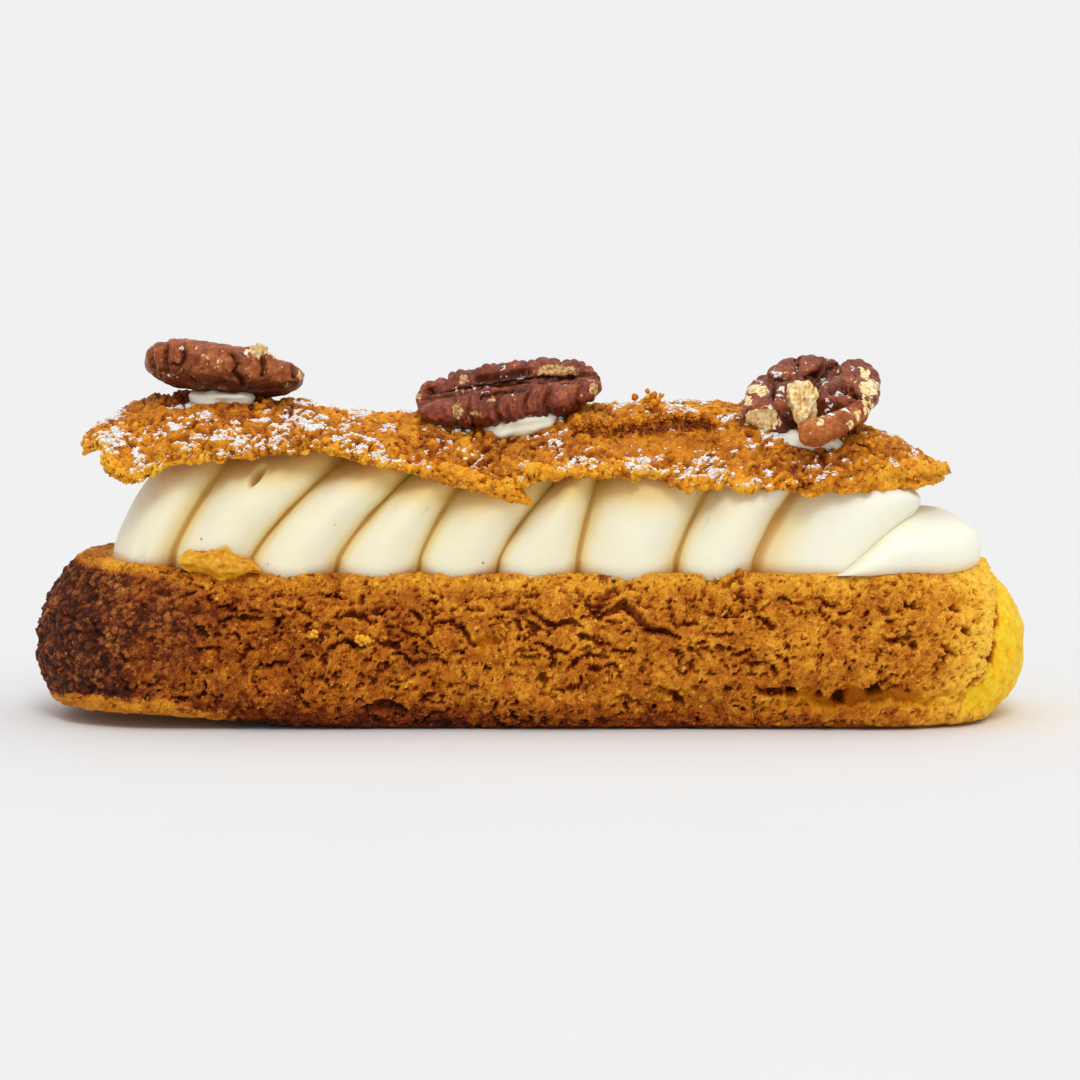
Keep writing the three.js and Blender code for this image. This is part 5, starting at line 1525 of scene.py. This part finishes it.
def cream_finish():
    """Piped cream: ivory, a little see-through, with dark vanilla specks, and painted shade in its air holes,
    its grooves and close under the lid.
    """
    finish = Finish("piped_cream")
    tint = finish.grain(6.0)
    colour = finish.ramp(tint, [(0.3, srgb(251, 247, 224)), (0.7, srgb(252, 250, 232))])
    warm = finish.ramp(tint, [(0.3, srgb(245, 238, 206)), (0.7, srgb(247, 242, 216))])
    colour = finish.blend(finish.value("warm"), colour, warm)
    speck = finish.add("ShaderNodeTexVoronoi")
    finish.feed(speck.inputs["Vector"], finish.place)
    speck.inputs["Scale"].default_value = 1 / (3.2 * MM)
    near = finish.step(speck.outputs["Distance"], 0.075, 0.045)
    chosen = finish.math("GREATER_THAN", finish.math("MULTIPLY", speck.outputs["Color"], 1.0), 0.74)
    colour = finish.blend(finish.math("MULTIPLY", near, chosen), colour, srgb(182, 130, 74))
    # Air holes painted darker: painted shade.
    colour = finish.blend(finish.step(finish.value("hole"), 0.5, 1.5), colour, srgb(196, 142, 64))
    groove = finish.value("groove")
    # Grooves painted golden, then brown at their bottom: painted shade.
    colour = finish.tint(colour, finish.step(groove, 0.35, 1.0), 0.75, srgb(234, 208, 122))
    colour = finish.tint(colour, finish.step(groove, 0.84, 1.0), 0.8, srgb(196, 136, 36))
    shade = finish.value("shade")
    # Painted shade close under the lid.
    colour = finish.tint(colour, shade, 0.75, srgb(238, 210, 122))
    colour = finish.tint(colour, finish.step(shade, 0.4, 1.0), 0.35, srgb(218, 168, 62))
    finish.bump(finish.weighted((finish.grain(1.5), 0.6), (finish.grain(0.3), 0.4)), 0.12, 0.35)
    return finish.set(
        Base_Color=colour, Roughness=0.42, Subsurface_Weight=0.6, Subsurface_Radius=(1.0, 0.8, 0.5),
        Subsurface_Scale=0.0018, Specular_IOR_Level=0.35,
    )


# Colours of nut skin, brown and tan, and of its flesh, fresh and stained
NUT_BROWN = [(0.28, srgb(72, 22, 12)), (0.5, srgb(132, 56, 28)), (0.72, srgb(190, 104, 56))]
NUT_TAN = [(0.3, srgb(128, 54, 14)), (0.5, srgb(178, 96, 36)), (0.7, srgb(216, 144, 74))]
NUT_FLESH = [(0.34, srgb(196, 128, 56)), (0.46, srgb(240, 202, 122)), (0.58, srgb(255, 242, 200))]
STAINED_FLESH = [(0.36, srgb(112, 62, 30)), (0.5, srgb(178, 122, 64)), (0.62, srgb(216, 172, 108))]


def pecan_finish():
    """Pecan skin: reddish brown, darker in the creases, partly its own colour and partly painted shade, which
    also darkens its underside, round its folds and in its gaps; with pale flesh where it is rubbed, painted
    darker and yellower in hollows as shade, and traces of sugar."""
    finish = Finish("pecan_skin")
    fine, coarse = finish.grain(0.5), finish.grain(2.4)
    brown = finish.ramp(finish.weighted((fine, 0.4), (coarse, 0.6)), NUT_BROWN)
    tan = finish.ramp(finish.weighted((fine, 0.5), (coarse, 0.5)), NUT_TAN)
    skin = finish.blend(finish.value("tan"), brown, tan)
    # Darker in creases and hollows: partly the skin's own colour, partly painted shade.
    colour = finish.blend(finish.step(finish.value("deep"), 0.2, 1.0), skin, srgb(66, 22, 10))
    streak = finish.grain(0.5, stretch=(1.0, 1.0, 0.3))
    worn = finish.weighted((finish.value("flesh"), 0.62), (fine, 0.8), (streak, 0.9), (coarse, 0.5))
    flesh = finish.ramp(finish.weighted((fine, 0.4), (streak, 0.6)), NUT_FLESH)
    # Flesh in hollows painted darker and yellower: painted shade.
    flesh = finish.blend(finish.step(finish.value("deep"), 0.6, 0.95), flesh, srgb(226, 174, 52))
    flesh = finish.blend(finish.step(finish.grain(0.35), 0.36, 0.3), flesh, srgb(150, 84, 36))
    flesh = finish.blend(finish.value("stain"), flesh, finish.ramp(fine, STAINED_FLESH))
    colour = finish.blend(finish.step(worn, 1.3, 1.44), colour, flesh)
    powder = finish.step(finish.weighted((finish.value("dust"), 0.7), (fine, 1.3)), 1.08, 1.2)
    colour = finish.blend(powder, colour, srgb(244, 242, 238))
    finish.bump(finish.weighted((fine, 0.6), (finish.grain(0.2), 0.4)), 0.15, 0.5)
    return finish.set(
        Base_Color=colour, Roughness=finish.weighted((fine, 0.3), total=0.22), Specular_IOR_Level=0.28,
    )


def fruit_finish():
    finish = Finish("cooked_fruit")
    pulp = finish.weighted((finish.value("fibre"), 0.6), (finish.grain(0.6), 1.0))
    amber = [(0.2, srgb(186, 108, 6)), (0.5, srgb(216, 150, 18)), (0.9, srgb(238, 188, 56))]
    colour = finish.ramp(pulp, amber)
    finish.bump(finish.grain(0.3, stretch=(0.4, 1, 1)), 0.15, 0.6)
    return finish.set(
        Base_Color=colour, Roughness=0.3, Subsurface_Weight=0.4, Subsurface_Radius=(1.0, 0.5, 0.12),
        Subsurface_Scale=0.0015, Specular_IOR_Level=0.25,
    )


def floor_finish():
    finish = Finish("pale_floor")
    tint = finish.ramp(finish.grain(60.0), [(0.3, (0.80, 0.80, 0.80, 1)), (0.7, (0.81, 0.81, 0.81, 1))])
    return finish.set(Base_Color=tint, Roughness=0.9)


# Stage, light and camera

def make_floor():
    half = 15.0
    corners = [(-half, -half, 0), (half, -half, 0), (half, half, 0), (-half, half, 0)]
    mesh = bpy.data.meshes.new("floor")
    mesh.from_pydata(corners, [], [(0, 1, 2, 3)])
    mesh.materials.append(floor_finish())
    floor = bpy.data.objects.new("floor", mesh)
    bpy.context.scene.collection.objects.link(floor)


# Brightness of the studio from the horizon up, by the sine of the height
SKY = [(0.0, 0.87), (0.05, 0.87), (0.2, 0.55), (0.5, 0.55), (0.75, 0.9), (1.0, 1.3)]


def make_light():
    """A white studio that is brightest overhead, and a soft light from the upper front."""
    world = bpy.data.worlds.new("studio")
    bpy.context.scene.world = world
    world.use_nodes = True
    tree = world.node_tree
    direction = tree.nodes.new("ShaderNodeTexCoord")
    parts = tree.nodes.new("ShaderNodeSeparateXYZ")
    tree.links.new(direction.outputs["Generated"], parts.inputs["Vector"])
    ramp = tree.nodes.new("ShaderNodeValToRGB")
    tree.links.new(parts.outputs["Z"], ramp.inputs["Fac"])
    elements = ramp.color_ramp.elements
    while len(elements) < len(SKY):
        elements.new(0.5)
    for element, (place, much) in zip(elements, SKY):
        element.position = place
        element.color = (much, much, much, 1.0)
    tree.links.new(ramp.outputs["Color"], tree.nodes["Background"].inputs["Color"])
    light = bpy.data.lights.new("overhead", "SUN")
    light.energy = 1.0
    light.angle = math.radians(20)
    lamp = bpy.data.objects.new("overhead", light)
    lamp.rotation_euler = (math.radians(40), math.radians(8), 0)
    bpy.context.scene.collection.objects.link(lamp)
    bpy.context.scene.view_settings.view_transform = "Standard"


def make_camera():
    camera = bpy.data.cameras.new("camera")
    camera.sensor_width = SENSOR
    camera.lens = SENSOR * VIEW_FOCAL
    camera.clip_end = 20.0
    view = bpy.data.objects.new("camera", camera)
    back = np.array([0.0, -math.cos(VIEW_ELEVATION), math.sin(VIEW_ELEVATION)])
    view.location = (np.array(VIEW_AIM) + VIEW_DISTANCE * back) * MM
    view.rotation_euler = (math.pi / 2 - VIEW_ELEVATION, 0, 0)
    bpy.context.scene.collection.objects.link(view)
    bpy.context.scene.camera = view


make_camera()
make_floor()
make_light()
crust_look = crust_finish("baked_crust", BAKED_BASE, gloss=0.1, glow=0.15)
lid_look = crust_finish("baked_lid", BAKED_LID, gloss=0.22, glow=0.3)
crumb_look = crust_finish("baked_crumb", BAKED_LID, gloss=0.2, glow=0.0)
cream_look = cream_finish()
pecan_look = pecan_finish()
make_base(crust_look)
make_lid(lid_look, crumb_look, sugar_finish())
make_cream(cream_look)
make_end_lobe(cream_look)
make_dabs(cream_look)
make_fruit(fruit_finish())
make_flap(lid_look)
make_lone_crumbs(crumb_look)
for half in NUTS:
    make_pecan(half, pecan_look)
make_tongue(pecan_look)
make_thumb(pecan_look)
